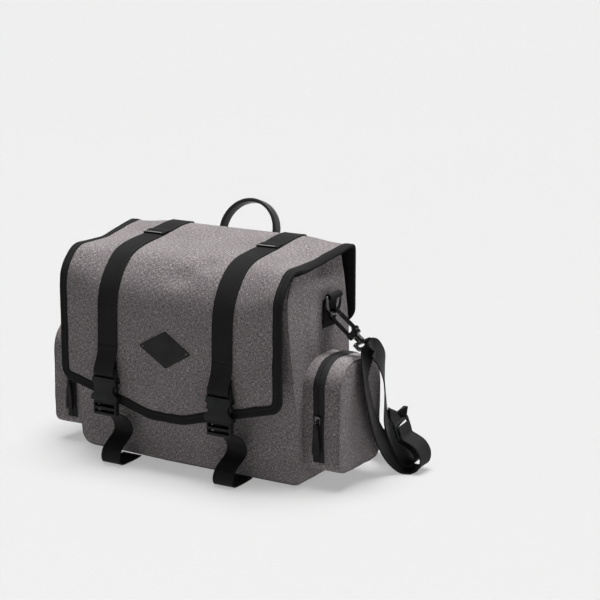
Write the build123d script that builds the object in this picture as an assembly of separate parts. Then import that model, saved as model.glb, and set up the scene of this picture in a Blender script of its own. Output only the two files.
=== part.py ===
from build123d import *
import math
import os

# Bicycle saddle bag: a fabric satchel for a rear rack, millimetres, +Z up.
# Origin: centre of the base on the floor. -Y is the front (buckles), +Y is the rack side.
# Each entry of `nodes` is one physical piece, or one group of identical fasteners.

# ---------------------------------------------------------------- driving dimensions
BODY_W = 366.0            # widest, across the side walls
BODY_H = 316.0            # before the rim is cut to the flap's slope
BACK_Y = 75.0             # outer face of the back wall
FABRIC = 2.5              # laminated fabric with its foam
BASE_SKIN = 1.5           # black reinforcement under and behind the body
CORNER_R = 12.0           # vertical corners of the body
# height, half width, front y, back y: the front leans out above a narrower base
BODY_SECTIONS = [
    (BASE_SKIN, 176.0, -62.0, 72.0),
    (9.0, 182.0, -64.0, BACK_Y),
    (117.0, 183.0, -84.0, BACK_Y),
    (200.0, 183.0, -98.0, BACK_Y),
    (268.0, 182.0, -100.0, BACK_Y),
    (297.0, 181.0, -74.0, BACK_Y),
    (BODY_H, 180.0, -52.0, BACK_Y),
]
RIM_GAP = 6.5             # rim of the compartment, below the flap's outer face
BAND_TOP = 45.0           # black band across the lower back
WING_W, WING_H = 51.0, 62.0

FLAP_W, FLAP_FRONT_W = 376.0, 352.0
FLAP_T = 3.0
FLAP_TOP = 320.0          # at the hinge; the top falls gently towards the front
FLAP_FALL = 0.088
FLAP_FRONT = -116.0
FLAP_R = 62.0             # roll from the top to the front
FLAP_TAIL_Z = 203.0       # lower edge of the fixed rear part of the flap
FLAP_SIDE_Z = 124.0       # where the slanted front edge would meet the sides
FLAP_TIP_Z, FLAP_TIP_HALF = 84.0, 30.0
HINGE_Y, HINGE_Z = 76.5, 318.5

WEBBING_W, WEBBING_T = 33.0, 2.0
STRAP_X = 95.0            # the two closing straps

UPPER_Z, UPPER_LEN, RAIL_H, UPPER_T = 230.0, 330.0, 34.0, 12.0
UPPER_Y = 81.0            # back face of the upper rail, on 3 mm bosses
UPPER_SCREWS = (-150.0, -63.6, 0.0, 63.6, 150.0)
HOOK_X, HOOK_TRAVEL = 107.0, 23.0
LOWER_Z, LOWER_LEN, LOWER_H, LOWER_T = 80.0, 168.0, 33.0, 11.0
LOWER_SCREWS = (-75.0, 75.0)
ARM_X, ARM_LEN = 47.0, 90.0
SHANK_R, HOLE_R = 2.4, 2.6
SLOT_H, TEE_H = 8.0, 16.0

RACK_TUBE_R = 8.0
HOOK_W = 27.0
HOOK_TUBE_Y, HOOK_TUBE_Z = 105.0, 248.0
ARM_TUBE_R = 6.0

HANDLE_X, HANDLE_W, HANDLE_T = 45.0, 20.0, 3.0
HANDLE_Y, HANDLE_Z, HANDLE_LEAN = 79.5, 249.5, 17.0
HANDLE_LEG = 62.0

BUCKLE_W, BUCKLE_T, BUCKLE_Y = 44.0, 11.0, -122.7
FEMALE_Z0, FEMALE_Z1 = 98.0, 146.0
MALE_Z0 = 77.0

POCKET_X0, POCKET_X1, POCKET_SPLIT = 178.0, 241.0, 208.5
POCKET_Y0, POCKET_Y1, POCKET_Z0, POCKET_Z1 = -55.0, 57.0, 25.0, 177.0
POCKET_TOP_R, POCKET_LOW_R = 40.0, 15.0
ZIP_W, ZIP_T, ZIP_END_Z = 8.0, 1.2, 36.0
SLIDER_Z = 101.0

RING_X, RING_Y, RING_Z = 193.5, 10.0, 256.0
TAB_X = 185.6
RING_HALF, RING_LEG, RING_WIRE = 19.0, 6.0, 2.25
SNAP_ANGLE = 37.8         # the snap hook lies this far below level
EYE_A = 66.0              # eye bar, along the snap hook from the ring

OUT = "parts"
os.makedirs(OUT, exist_ok=True)
nodes = {}


# ---------------------------------------------------------------- helpers
def block(x0, x1, y0, y1, z0, z1):
    """A box between two corners."""
    centre = ((x0 + x1) / 2, (y0 + y1) / 2, (z0 + z1) / 2)
    return Pos(*centre) * Box(abs(x1 - x0), abs(y1 - y0), abs(z1 - z0))


def rod(radius, start, end):
    """A round bar between two points."""
    a, b = Vector(*start), Vector(*end)
    plane = Plane(origin=a, z_dir=b - a)
    return extrude(plane * Circle(radius), amount=(b - a).length)


def extrude_x(points, x0, x1, radii=None):
    """A (y, z) outline carried along X; radii maps a point's number to its fillet radius."""
    face = make_face(Polyline(*points, close=True))
    for index, radius in (radii or {}).items():
        y, z = points[index]
        corner = face.vertices().sort_by_distance(Vector(y, z, 0))[0]
        face = fillet(corner, radius)
    plane = Plane(origin=(x0, 0, 0), x_dir=(0, 1, 0), z_dir=(1, 0, 0))
    return extrude(plane * face, amount=x1 - x0)


def band(points, thickness):
    """The closed outline of an open route of (y, z) points, given a thickness."""
    left, right = [], []
    for i, (y, z) in enumerate(points):
        before = points[max(i - 1, 0)]
        after = points[min(i + 1, len(points) - 1)]
        d1 = unit(y - before[0], z - before[1]) if i else unit(after[0] - y, after[1] - z)
        d2 = unit(after[0] - y, after[1] - z) if i < len(points) - 1 else d1
        normal = unit(-(d1[1] + d2[1]), d1[0] + d2[0])
        reach = thickness / 2 / max(normal[0] * -d1[1] + normal[1] * d1[0], 0.5)
        left.append((y + normal[0] * reach, z + normal[1] * reach))
        right.append((y - normal[0] * reach, z - normal[1] * reach))
    return left + right[::-1]


def unit(a, b):
    length = math.hypot(a, b)
    return a / length, b / length


def strip(start, end, across, width=WEBBING_W, thickness=WEBBING_T):
    """A flat run of webbing between two points, its width along `across`."""
    a, b = Vector(*start), Vector(*end)
    along = (b - a).normalized()
    side = Vector(*across)
    side = (side - along * side.dot(along)).normalized()
    plane = Plane(origin=(a + b) / 2, x_dir=along, z_dir=along.cross(side))
    return plane * Box((b - a).length + thickness, width, thickness)


def mirrored(shape):
    return shape.mirror(Plane.YZ)


def pair(name, *solids):
    """The same piece, or group of pieces, on both sides: +X is the right."""
    nodes[name + "_right"] = group(solids)
    nodes[name + "_left"] = group([mirrored(solid) for solid in solids])


def group(solids):
    """Separate solids in one node."""
    return solids[0] if len(solids) == 1 else Compound(children=list(solids))


def flap_z(y):
    """Height of the flap's outer face before the roll to the front."""
    return FLAP_TOP - FLAP_FALL * (HINGE_Y - y)


def body_solid(inset, bottom, top=BODY_H):
    """The body as one lofted solid, its walls moved in by `inset`."""
    faces = []
    for i, (z, half, front, back) in enumerate(BODY_SECTIONS):
        height = bottom if i == 0 else top if i == len(BODY_SECTIONS) - 1 else z
        width = 2 * (half - inset)
        depth = back - front - 2 * inset
        outline = RectangleRounded(width, depth, CORNER_R - min(inset, 8.0))
        faces.append(Pos(0, (front + back) / 2, height) * outline)
    return loft(faces, ruled=True)


def screw_holes(xs, z, y0, y1, radius=HOLE_R):
    """Cutters along Y for a row of screws."""
    cutters = Part()
    for x in xs:
        cutters += rod(radius, (x, y0, z), (x, y1, z))
    return cutters


# ---------------------------------------------------------------- main body
def make_body():
    outer = body_solid(0, BASE_SKIN)
    inner = body_solid(FABRIC, BASE_SKIN + FABRIC, BODY_H + 1)
    wide, cut = 400.0, BODY_W / 2 - CORNER_R - 2
    y0, y1 = FLAP_FRONT, BACK_Y + 20
    above = extrude_x([(y0, flap_z(y0) - RIM_GAP), (y1, flap_z(y1) - RIM_GAP), (y1, wide), (y0, wide)],
                      -wide / 2, wide / 2)
    shell = outer - inner - above
    floor_top = BASE_SKIN + FABRIC
    nodes["body_bottom_panel"] = shell & block(-wide, wide, -wide, wide, 0, floor_top)
    walls = shell & block(-wide, wide, -wide, wide, floor_top, BODY_H + 1)
    nodes["side_gusset_right"] = walls & block(cut, wide, -wide, wide, 0, BODY_H)
    nodes["side_gusset_left"] = walls & block(-wide, -cut, -wide, wide, 0, BODY_H)
    nodes["body_front_panel"] = walls & block(-cut, cut, -wide, 0, 0, BODY_H)
    back = walls & block(-cut, cut, 0, wide, 0, BODY_H)
    holes = screw_holes(UPPER_SCREWS, UPPER_Z, 60, 100) + screw_holes(LOWER_SCREWS, LOWER_Z, 60, 100)
    nodes["body_back_panel"] = back - holes

    plate_y1 = BACK_Y - FABRIC
    stiffener = block(-164, 164, plate_y1 - 3, plate_y1, 12, 290)
    stiffener = fillet(stiffener.edges().filter_by(Axis.Y), 15)
    nodes["back_stiffener"] = stiffener - holes
    nodes["base_stiffener"] = block(-164, 164, -54, 66, floor_top, floor_top + 3)

    skin = body_solid(-BASE_SKIN, 0, BODY_H) - body_solid(0, BASE_SKIN)
    lip = skin & block(-wide, wide, -wide, wide, -1, 6.0)
    rear = skin & block(-wide, wide, BACK_Y - 3.4, wide, 5.0, BAND_TOP)
    wing = Pos(BODY_W / 2 - CORNER_R + 2, 0, BAND_TOP) * (
        Rot(90, 0, 0) * extrude(Ellipse(WING_W - 8, WING_H), amount=200, both=True)
    )
    wings = skin & (wing + mirrored(wing)) & block(-172, 172, BACK_Y, wide, BAND_TOP - 1, 200)
    nodes["base_reinforcement"] = lip + rear + wings
    return outer


# ---------------------------------------------------------------- flap
def make_flap():
    tail = block(-FLAP_W / 2, FLAP_W / 2, BACK_Y, BACK_Y + FLAP_T, FLAP_TAIL_Z, HINGE_Z - 3.5)
    low = tail.edges().filter_by(Axis.Y).group_by(Axis.Z)[0]
    tail = fillet(low, 22)
    nodes["flap_back_panel"] = tail - screw_holes(UPPER_SCREWS, UPPER_Z, 60, 100)

    y_back, y_in = HINGE_Y - 3, FLAP_FRONT + FLAP_T
    section = [
        (y_back, flap_z(y_back)), (FLAP_FRONT, flap_z(FLAP_FRONT)), (FLAP_FRONT, FLAP_TIP_Z),
        (y_in, FLAP_TIP_Z), (y_in, flap_z(y_in) - FLAP_T), (y_back, flap_z(y_back) - FLAP_T),
    ]
    lid = extrude_x(section, -FLAP_W / 2, FLAP_W / 2, {1: FLAP_R, 4: FLAP_R - FLAP_T})
    half, front_half = FLAP_W / 2, FLAP_FRONT_W / 2
    plan = make_face(Polyline(
        (-half, HINGE_Y), (-front_half, FLAP_FRONT), (front_half, FLAP_FRONT), (half, HINGE_Y), close=True))
    lid &= extrude(Plane.XY * plan, amount=400)
    outline = make_face(Polyline(
        (-front_half, 400), (-front_half, FLAP_SIDE_Z), (-FLAP_TIP_HALF, FLAP_TIP_Z),
        (FLAP_TIP_HALF, FLAP_TIP_Z), (front_half, FLAP_SIDE_Z), (front_half, 400), close=True))
    corners = outline.vertices().sort_by(Axis.Y)[:4]
    outline = fillet([v for v in corners if abs(v.X) > 100], 26)
    outline = fillet([v for v in outline.vertices() if v.Y < FLAP_TIP_Z + 1], 40)
    hanging = extrude(Plane.XZ * outline, amount=200, both=True)
    nodes["flap_lid"] = lid - (block(-half, half, FLAP_FRONT - 1, 0, 0, 220) - hanging)

    front = FLAP_FRONT - WEBBING_T
    rear_y, roll_z = HINGE_Y - 8, flap_z(FLAP_FRONT) - FLAP_R
    run = [
        (rear_y, flap_z(rear_y) + WEBBING_T), (front, flap_z(front) + WEBBING_T), (front, 152),
        (front - 9.5, 150), (front - 9.5, 133.5), (FLAP_FRONT - 0.2, 133.5), (FLAP_FRONT - 0.2, roll_z),
        (FLAP_FRONT, roll_z), (FLAP_FRONT, flap_z(FLAP_FRONT)), (rear_y, flap_z(rear_y)),
    ]
    left, right = STRAP_X - WEBBING_W / 2, STRAP_X + WEBBING_W / 2
    strap = extrude_x(run, left, right, {1: FLAP_R + WEBBING_T, 8: FLAP_R})
    pair("flap_strap", strap - block(left, right, front - 7.5, front - 0.5, 135.5, 148))
    rear = block(left, right, BACK_Y + FLAP_T, BACK_Y + FLAP_T + WEBBING_T, 214, HINGE_Z - 4)
    pair("rear_strap", rear)

    patch = make_face(Polyline((-44, 183), (1.5, 208), (46, 180), (2, 155), close=True))
    patch = fillet(patch.vertices(), 2)
    nodes["diamond_patch"] = extrude(Plane.XZ.offset(-FLAP_FRONT) * patch, amount=1.2)


# ---------------------------------------------------------------- side-release buckles
def make_buckles():
    """Female half on the flap strap, male half on the lower strap."""
    y0, y1 = BUCKLE_Y - BUCKLE_T / 2, BUCKLE_Y + BUCKLE_T / 2
    waist = 17.5
    face = make_face(Polyline(
        (-22, FEMALE_Z0), (22, FEMALE_Z0), (22, FEMALE_Z0 + 12), (waist, FEMALE_Z0 + 18),
        (waist, FEMALE_Z0 + 28), (20.5, FEMALE_Z0 + 34), (20.5, FEMALE_Z1), (-20.5, FEMALE_Z1),
        (-20.5, FEMALE_Z0 + 34), (-waist, FEMALE_Z0 + 28), (-waist, FEMALE_Z0 + 18),
        (-22, FEMALE_Z0 + 12), close=True))
    face = fillet(face.vertices(), 1.8)
    shell = extrude(Plane.XZ.offset(-y1) * face, amount=BUCKLE_T)
    shell = chamfer(shell.faces().filter_by(Axis.Y).edges(), 0.7)
    slot = block(-17.5, 17.5, y0 - 1, y1 + 1, 131.5, 136.0)
    bar = block(-17.5, 17.5, y0 - 1, BUCKLE_Y - 2.7, 136.0, FEMALE_Z1 + 1)
    bar += block(-17.5, 17.5, BUCKLE_Y + 2.7, y1 + 1, 136.0, FEMALE_Z1 + 1)
    bar += block(-17.5, 17.5, y0 - 1, y1 + 1, 143.0, FEMALE_Z1 + 1)
    cavity = block(-18.6, 18.6, BUCKLE_Y - 3.2, BUCKLE_Y + 3.2, FEMALE_Z0 - 1, 129.0)
    windows = block(-30, 30, BUCKLE_Y - 3.2, BUCKLE_Y + 3.2, FEMALE_Z0 + 13, 127.0)
    female = shell - slot - bar - cavity - windows
    pair("buckle_female", Pos(STRAP_X, 0, 0) * female)

    frame = block(-19.5, 19.5, BUCKLE_Y - 4.2, BUCKLE_Y + 4.2, MALE_Z0, FEMALE_Z0 - 0.3)
    frame = fillet(frame.edges().filter_by(Axis.Y), 2.5)
    frame = chamfer(frame.faces().filter_by(Axis.Y).edges(), 0.6)
    frame -= block(-17, 17, -200, 0, 81, 85.5) + block(-17, 17, -200, 0, 89, 94.5)
    prong = make_face(Polyline(
        (8, 97), (14, 97), (15.5, 112), (20.2, 113.5), (19.4, 119), (14, 127), (11.5, 127),
        (11, 110), close=True))
    prong = extrude(Plane.XZ.offset(-(BUCKLE_Y + 2.8)) * prong, amount=5.6)
    spine = block(-2, 2, BUCKLE_Y - 2.8, BUCKLE_Y + 2.8, 97, 124)
    male = frame + prong + mirrored(prong) + spine
    pair("buckle_male", Pos(STRAP_X, 0, 0) * male)

    # slack lower strap: wraps the ladder bar, loops to the floor, sewn at the bottom seam
    y = BUCKLE_Y
    route = [
        (y + 2, 96), (y - 1, 92), (y + 3, 87), (y + 4, 78), (y + 10, 64), (y + 23, 52),
        (y + 29, 42), (y + 25, 30), (y + 14, 20), (y + 5, 13), (y + 3, 6), (y + 9, 1.1),
        (y + 24, 1.1), (y + 46, 1.5), (-65.2, 3.6),
    ]
    left, right = STRAP_X - 16, STRAP_X + 16
    strap = extrude_x(band(route, WEBBING_T), left, right)
    ladder = Pos(STRAP_X, 0, 0) * male
    strap = (strap - ladder).solids().sort_by(SortBy.VOLUME)[-1]
    strap -= body_solid(-BASE_SKIN, 0)
    pair("lower_strap", strap & block(left, right, -200, 0, 0.1, 200))


# ---------------------------------------------------------------- rails on the back
def rail(length, height, thickness, y0, z):
    """A stadium-ended moulding with a soft front edge."""
    face = Pos(0, z) * SlotOverall(length, height)
    body = extrude(Plane.XZ.offset(-y0) * face, amount=-thickness)
    rim = body.faces().sort_by(Axis.Y)[-1].edges()
    return fillet(rim, 2.5)


def slot_cut(x0, x1, z, height, y0, y1):
    face = Pos((x0 + x1) / 2, z) * SlotOverall(abs(x1 - x0), height)
    return extrude(Plane.XZ.offset(-y0) * face, amount=-(y1 - y0))


def dome_screw(x, z, y_seat, y_end, head_r=5.2, head_h=3.0):
    """A domed head with a hex socket, its shank running towards -Y."""
    head = rod(head_r, (x, y_seat, z), (x, y_seat + head_h, z))
    head = fillet(head.faces().sort_by(Axis.Y)[-1].edges(), 2.2)
    socket = Plane(origin=(x, y_seat + 1.2, z), z_dir=(0, 1, 0)) * RegularPolygon(1.9, 6)
    shank = rod(SHANK_R, (x, y_end, z), (x, y_seat + 0.5, z))
    return head + shank - extrude(socket, amount=5)


def backing_nut(x, z, y1):
    """A wide washer with its nut, inside the bag."""
    body = rod(9.0, (x, y1 - 1.5, z), (x, y1, z)) + rod(5.0, (x, y1 - 5.0, z), (x, y1, z))
    return body - rod(SHANK_R, (x, y1 - 9, z), (x, y1 + 1, z))


def make_rails():
    y_front = UPPER_Y + UPPER_T
    plate = rail(UPPER_LEN, RAIL_H, UPPER_T, UPPER_Y, UPPER_Z)
    for x in UPPER_SCREWS:
        plate += rod(7.0, (x, BACK_Y + FLAP_T, UPPER_Z), (x, UPPER_Y, UPPER_Z))
    inner, outer = HOOK_X - HOOK_TRAVEL - 4, HOOK_X + HOOK_TRAVEL + 4
    for side in (-1, 1):
        plate -= slot_cut(side * inner, side * outer, UPPER_Z, SLOT_H, UPPER_Y - 1, y_front + 1)
        tee = (side * (inner - 8.5), side * (outer + 8))
        plate -= slot_cut(*tee, UPPER_Z, TEE_H, UPPER_Y - 1, UPPER_Y + 5)
        slit = side * HANDLE_X
        plate -= block(slit - 1, slit + 1, y_front - 1.5, y_front + 1, UPPER_Z + 6, UPPER_Z + 14)
    for x in UPPER_SCREWS:
        plate -= rod(7.6, (x, y_front - 5, UPPER_Z), (x, y_front + 1, UPPER_Z))
    nodes["upper_rail"] = plate - screw_holes(UPPER_SCREWS, UPPER_Z, 60, 100)
    seat, inside = y_front - 5, BACK_Y - FABRIC - 3
    nodes["upper_rail_screws"] = group(
        [dome_screw(x, UPPER_Z, seat, inside - 5) for x in UPPER_SCREWS])
    nodes["upper_rail_nuts"] = group([backing_nut(x, UPPER_Z, inside) for x in UPPER_SCREWS])

    y_front = BACK_Y + LOWER_T
    plate = rail(LOWER_LEN, LOWER_H, LOWER_T, BACK_Y, LOWER_Z)
    plate -= slot_cut(-64, 64, LOWER_Z, SLOT_H, BACK_Y - 1, y_front + 1)
    plate -= slot_cut(-68, 68, LOWER_Z, TEE_H, BACK_Y - 1, BACK_Y + 5)
    for x in LOWER_SCREWS:
        plate -= rod(7.2, (x, y_front - 5, LOWER_Z), (x, y_front + 1, LOWER_Z))
    nodes["lower_rail"] = plate - screw_holes(LOWER_SCREWS, LOWER_Z, 60, 100)
    nodes["lower_rail_screws"] = group(
        [dome_screw(x, LOWER_Z, y_front - 5, inside - 5) for x in LOWER_SCREWS])
    nodes["lower_rail_nuts"] = group([backing_nut(x, LOWER_Z, inside) for x in LOWER_SCREWS])


def tee_nut(x, z, y0, y1):
    body = block(x - 7, x + 7, y0, y1, z - 7, z + 7)
    return body - rod(SHANK_R, (x, y0 - 1, z), (x, y1 + 1, z))


def make_rack_hooks():
    """Each hook drops over a rack tube; it slides along its slot until its screw is tightened."""
    y0 = UPPER_Y + UPPER_T + 0.2
    y1 = HOOK_TUBE_Y - RACK_TUBE_R
    z_top = HOOK_TUBE_Z + RACK_TUBE_R + 6
    y_lip = HOOK_TUBE_Y + RACK_TUBE_R + 5
    wide = HOOK_W / 2
    crown = block(-wide, wide, y0, y_lip, HOOK_TUBE_Z - 8, z_top)
    outer_edges = crown.edges().filter_by(Axis.X).group_by(Axis.Z)[-1]
    crown = fillet(outer_edges, 3)
    crown -= block(-wide, wide, y1, y_lip - 5, HOOK_TUBE_Z - 30, HOOK_TUBE_Z)
    crown -= rod(RACK_TUBE_R, (-wide - 1, HOOK_TUBE_Y, HOOK_TUBE_Z), (wide + 1, HOOK_TUBE_Y, HOOK_TUBE_Z))
    neck = make_face(Polyline(
        (-11, UPPER_Z), (11, UPPER_Z), (wide, HOOK_TUBE_Z - 8), (wide, HOOK_TUBE_Z),
        (-wide, HOOK_TUBE_Z), (-wide, HOOK_TUBE_Z - 8), close=True))
    neck = extrude(Plane.XZ.offset(-y0) * neck, amount=-(y1 - y0))
    disc = rod(13.0, (0, y0, UPPER_Z), (0, y1, UPPER_Z))
    disc = fillet(disc.faces().sort_by(Axis.Y)[-1].edges(), 1.2)
    hook = crown + neck + disc - rod(HOLE_R, (0, 60, UPPER_Z), (0, 140, UPPER_Z))
    pair("rack_hook", Pos(HOOK_X, 0, 0) * hook)
    bolt = dome_screw(HOOK_X, UPPER_Z, y1, UPPER_Y + 0.8)
    pair("rack_hook_screw", bolt, tee_nut(HOOK_X, UPPER_Z, UPPER_Y + 0.8, UPPER_Y + 4.6))


def make_lower_arm():
    """A swinging arm with a long lip that catches the rack's side stay."""
    y0 = BACK_Y + LOWER_T + 0.3
    y1 = y0 + 5.5
    plate = make_hull([
        Circle(12.5).edge(), (Pos(-38, -3) * Circle(13)).edge(),
        (Pos(-ARM_LEN + 8, 2) * Circle(6)).edge()])
    plate = extrude(Plane(origin=(0, y0, 0), x_dir=(1, 0, 0), z_dir=(0, -1, 0)) * plate, amount=-5.5)
    plate = fillet(plate.faces().sort_by(Axis.Y)[-1].edges(), 1.5)
    tube_y = y1 + ARM_TUBE_R
    x0, x1 = -62.0, -20.0
    lip = block(x0, x1, y1 - 1, tube_y + ARM_TUBE_R + 4, -9, 7)
    lip = fillet(lip.edges().filter_by(Axis.X).group_by(Axis.Z)[-1][-1:], 5)
    lip = fillet(lip.edges().filter_by(Axis.Y), 3)
    lip -= rod(ARM_TUBE_R, (x0 - 1, tube_y, -4), (x1 + 1, tube_y, -4))
    lip -= block(x0 - 1, x1 + 1, y1, tube_y + ARM_TUBE_R, -20, -4)
    arm = plate + lip - rod(HOLE_R, (0, y0 - 1, 0), (0, y1 + 1, 0))
    nodes["lower_hook_arm"] = Pos(ARM_X, 0, LOWER_Z) * arm
    bolt = dome_screw(ARM_X, LOWER_Z, y1 + 0.2, BACK_Y + 0.6)
    nodes["lower_arm_screw"] = group([bolt, tee_nut(ARM_X, LOWER_Z, BACK_Y + 0.6, BACK_Y + 4.6)])


# ---------------------------------------------------------------- carry handle
def make_handle():
    """An arch of stiff band, leaning back; its ends are clamped behind the upper rail."""
    ends = []
    for side in (-1, 1):
        x = side * HANDLE_X
        ends.append(block(x - 9.5, x + 9.5, BACK_Y + FLAP_T, UPPER_Y, UPPER_Z - 8, HANDLE_Z - 1.5))
    nodes["handle_anchors"] = group(ends)
    legs = Part()
    for side in (-1, 1):
        x = side * HANDLE_X
        legs += block(x - 10, x + 10, -HANDLE_T / 2, HANDLE_T / 2, 0.6, HANDLE_LEG - 14)
        legs += block(x - 4, x + 4, -7, 7, HANDLE_LEG - 18, HANDLE_LEG)
    ring = Circle(HANDLE_X + 4) - Circle(HANDLE_X - 4)
    arch = extrude(Plane.XZ * ring, amount=9, both=True) & block(-80, 80, -20, 20, 0, 80)
    handle = legs + Pos(0, 0, HANDLE_LEG) * arch
    nodes["handle"] = Pos(0, HANDLE_Y, HANDLE_Z) * (Rot(-HANDLE_LEAN, 0, 0) * handle)


# ---------------------------------------------------------------- side pockets
def pocket_block(x0, x1, grow=0.0):
    """The pocket's outline, seen from the side, carried along X."""
    y0, y1 = POCKET_Y0 - grow, POCKET_Y1 + grow
    z0, z1 = POCKET_Z0 - grow, POCKET_Z1 + grow
    points = [(y0, z0), (y1, z0), (y1, z1), (y0, z1)]
    low, high = POCKET_LOW_R + grow, POCKET_TOP_R + grow
    return extrude_x(points, x0, x1, {0: low, 1: low, 2: high, 3: high})


def make_pockets(body):
    half_gap = 0.25
    tray_x1, cover_x0 = POCKET_SPLIT - half_gap, POCKET_SPLIT + half_gap
    tray = pocket_block(POCKET_X0, tray_x1) - pocket_block(POCKET_X0 - 1, tray_x1 + 1, -FABRIC)
    tray = (tray - body).solids().sort_by(SortBy.VOLUME)[-1]
    pair("pocket_tray", tray)
    cover = pocket_block(cover_x0, POCKET_X1)
    cover = fillet(cover.faces().sort_by(Axis.X)[-1].edges(), 7)
    inside = pocket_block(cover_x0 - 1, POCKET_X1 - FABRIC, -FABRIC)
    pair("pocket_cover", cover - inside)
    for name, x0, x1 in (
        ("zip_tape", tray_x1 - ZIP_W, tray_x1),
        ("cover_zip_tape", cover_x0, cover_x0 + ZIP_W),
    ):
        tape = pocket_block(x0, x1, ZIP_T) - pocket_block(x0 - 1, x1 + 1)
        pair(name, tape & block(x0, x1, -100, 100, ZIP_END_Z, 200))

    y0 = POCKET_Y0 - ZIP_T - 0.4
    x = POCKET_SPLIT
    slider = block(x - 4.5, x + 4.5, y0 - 3, y0, SLIDER_Z - 7, SLIDER_Z + 5)
    slider = fillet(slider.edges().filter_by(Axis.Y), 2.4)
    slider = chamfer(slider.faces().sort_by(Axis.Y)[0].edges(), 0.6)
    y_pull = y0 - 5.9
    bridge = rod(1.3, (x - 3, y_pull, SLIDER_Z - 3), (x + 3, y_pull, SLIDER_Z - 3))
    for side in (-1, 1):
        bridge += block(x + side * 2.2 - 0.8, x + side * 2.2 + 0.8, y_pull - 0.6, y0 - 2.8,
                        SLIDER_Z - 4.2, SLIDER_Z - 1.8)
    pair("zip_slider", slider + bridge)
    loop = rod(2.6, (x - 1.2, y_pull, SLIDER_Z - 3), (x + 1.2, y_pull, SLIDER_Z - 3))
    tab = block(x - 1.2, x + 1.2, y_pull - 1.2, y_pull + 1.2, SLIDER_Z - 12, SLIDER_Z - 4)
    grip = block(x - 3.5, x + 3.5, y_pull - 1.5, y_pull + 1.5, SLIDER_Z - 48, SLIDER_Z - 11)
    grip = fillet(grip.edges().filter_by(Axis.Y), 3)
    pull = loop + tab + grip - rod(1.6, (x - 9, y_pull, SLIDER_Z - 3), (x + 9, y_pull, SLIDER_Z - 3))
    pair("zip_pull", pull)


# ---------------------------------------------------------------- rings and snap hooks
def make_rings(body):
    x, y, z = RING_X, RING_Y, RING_Z
    half = WEBBING_W / 2 - 0.5
    roll = rod(5.2, (x, y - half, z), (x, y + half, z))
    patch = block(180, TAB_X, y - half, y + half, z - 45, z + 4)
    tab = roll + patch + block(180, x, y - half, y + half, z - 4, z + 4)
    tab = tab - body - rod(2.6, (x, -100, z), (x, 100, z))
    pair("ring_tab", tab.solids().sort_by(SortBy.VOLUME)[-1])

    w, r = RING_WIRE, RING_HALF
    low = z - RING_LEG
    ring = rod(w, (x, y - r, z), (x, y + r, z))
    for side in (-1, 1):
        ring += rod(w, (x, y + side * r, z), (x, y + side * r, low))
        ring += Pos(x, y + side * r, z) * Sphere(w)
    bow = Plane(origin=(x, y, low), x_dir=(0, 1, 0), z_dir=(1, 0, 0)) * Torus(r, w)
    ring += bow & block(x - 9, x + 9, y - 40, y + 40, low - 40, low)
    pair("d_ring", ring)

    # the snap hook is drawn in its own plane: a runs to the eye, b runs up and outwards
    tilt = math.radians(SNAP_ANGLE)
    bow_z = low - r
    plane = Plane(
        origin=(x - 1.2 * math.cos(tilt), y, bow_z + 1.2 * math.sin(tilt)),
        x_dir=(math.cos(tilt), 0, -math.sin(tilt)), z_dir=(0, -1, 0))
    jaw = Pos(4, 0) * (Circle(9.2) - Circle(5.4)) & Pos(-6, 0) * Rectangle(20, 30)
    spine = Pos(21, -7.3) * Rectangle(34, 3.8)
    nose = Pos(6.5, 7.3) * Rectangle(5, 3.8)
    heel = make_face(Polyline((30, -9.2), (44, -9.2), (44, -2), (37, -5.4), close=True))
    frame = extrude(plane * (jaw + spine + nose + heel), amount=3.0, both=True)
    frame = chamfer(frame.faces().filter_by(Axis.Y).edges(), 0.6)
    pin_a, gate_b = 37.5, 7.2
    base = Pos(41, -0.3) * RectangleRounded(9, 17.8, 2.5) + Pos(pin_a, gate_b) * Circle(3.4)
    base = extrude(plane * base, amount=4.4, both=True)
    fork = Pos(pin_a, gate_b) * Circle(3.8) + Pos(pin_a - 4, gate_b) * Rectangle(8, 7.6)
    base -= extrude(plane * fork, amount=2.8, both=True)
    pin = extrude(plane * (Pos(pin_a, gate_b) * Circle(1.2)), amount=4.4, both=True)
    post = rod_in(plane, 2.0, 45.0, 52.4) + rod_in(plane, 3.4, 51.0, 53.0)
    pair("snap_hook", frame + base + pin + post)

    gate = Pos(pin_a / 2 + 4.7, gate_b) * Rectangle(pin_a - 9.4, 4.0)
    gate += Pos(pin_a, gate_b) * Circle(3.2)
    gate -= Pos(pin_a, gate_b) * Circle(1.4)
    gate = extrude(plane * gate, amount=2.5, both=True)
    pair("snap_gate", gate)

    # swivel barrel and rectangular eye for the webbing
    barrel = rod_in(plane, 5.2, 46.6, 55.5)
    barrel -= rod_in(plane, 2.3, 46.0, 50.7) + rod_in(plane, 3.7, 50.6, 53.3)
    wide, wire = WEBBING_W + 2.4, 2.2
    a0, a1 = 55.0 + wire, EYE_A
    eye_plane = Plane(origin=plane.from_local_coords(Vector((a0 + a1) / 2, 0, 0)),
                      x_dir=plane.x_dir, z_dir=plane.y_dir)
    loop = RectangleRounded(a1 - a0 + 2 * wire, wide + 4 * wire, 3)
    loop -= RectangleRounded(a1 - a0 - 2 * wire, wide, 1)
    loop = extrude(eye_plane * loop, amount=wire, both=True)
    loop = fillet(loop.edges().filter_by(lambda e: e.length > 5), 1.0)
    pair("swivel_eye", barrel + loop)
    return plane


def rod_in(plane, radius, a0, a1):
    """A bar along the snap hook's own length."""
    start = plane.from_local_coords(Vector(a0, 0, 0))
    end = plane.from_local_coords(Vector(a1, 0, 0))
    return rod(radius, tuple(start), tuple(end))


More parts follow.
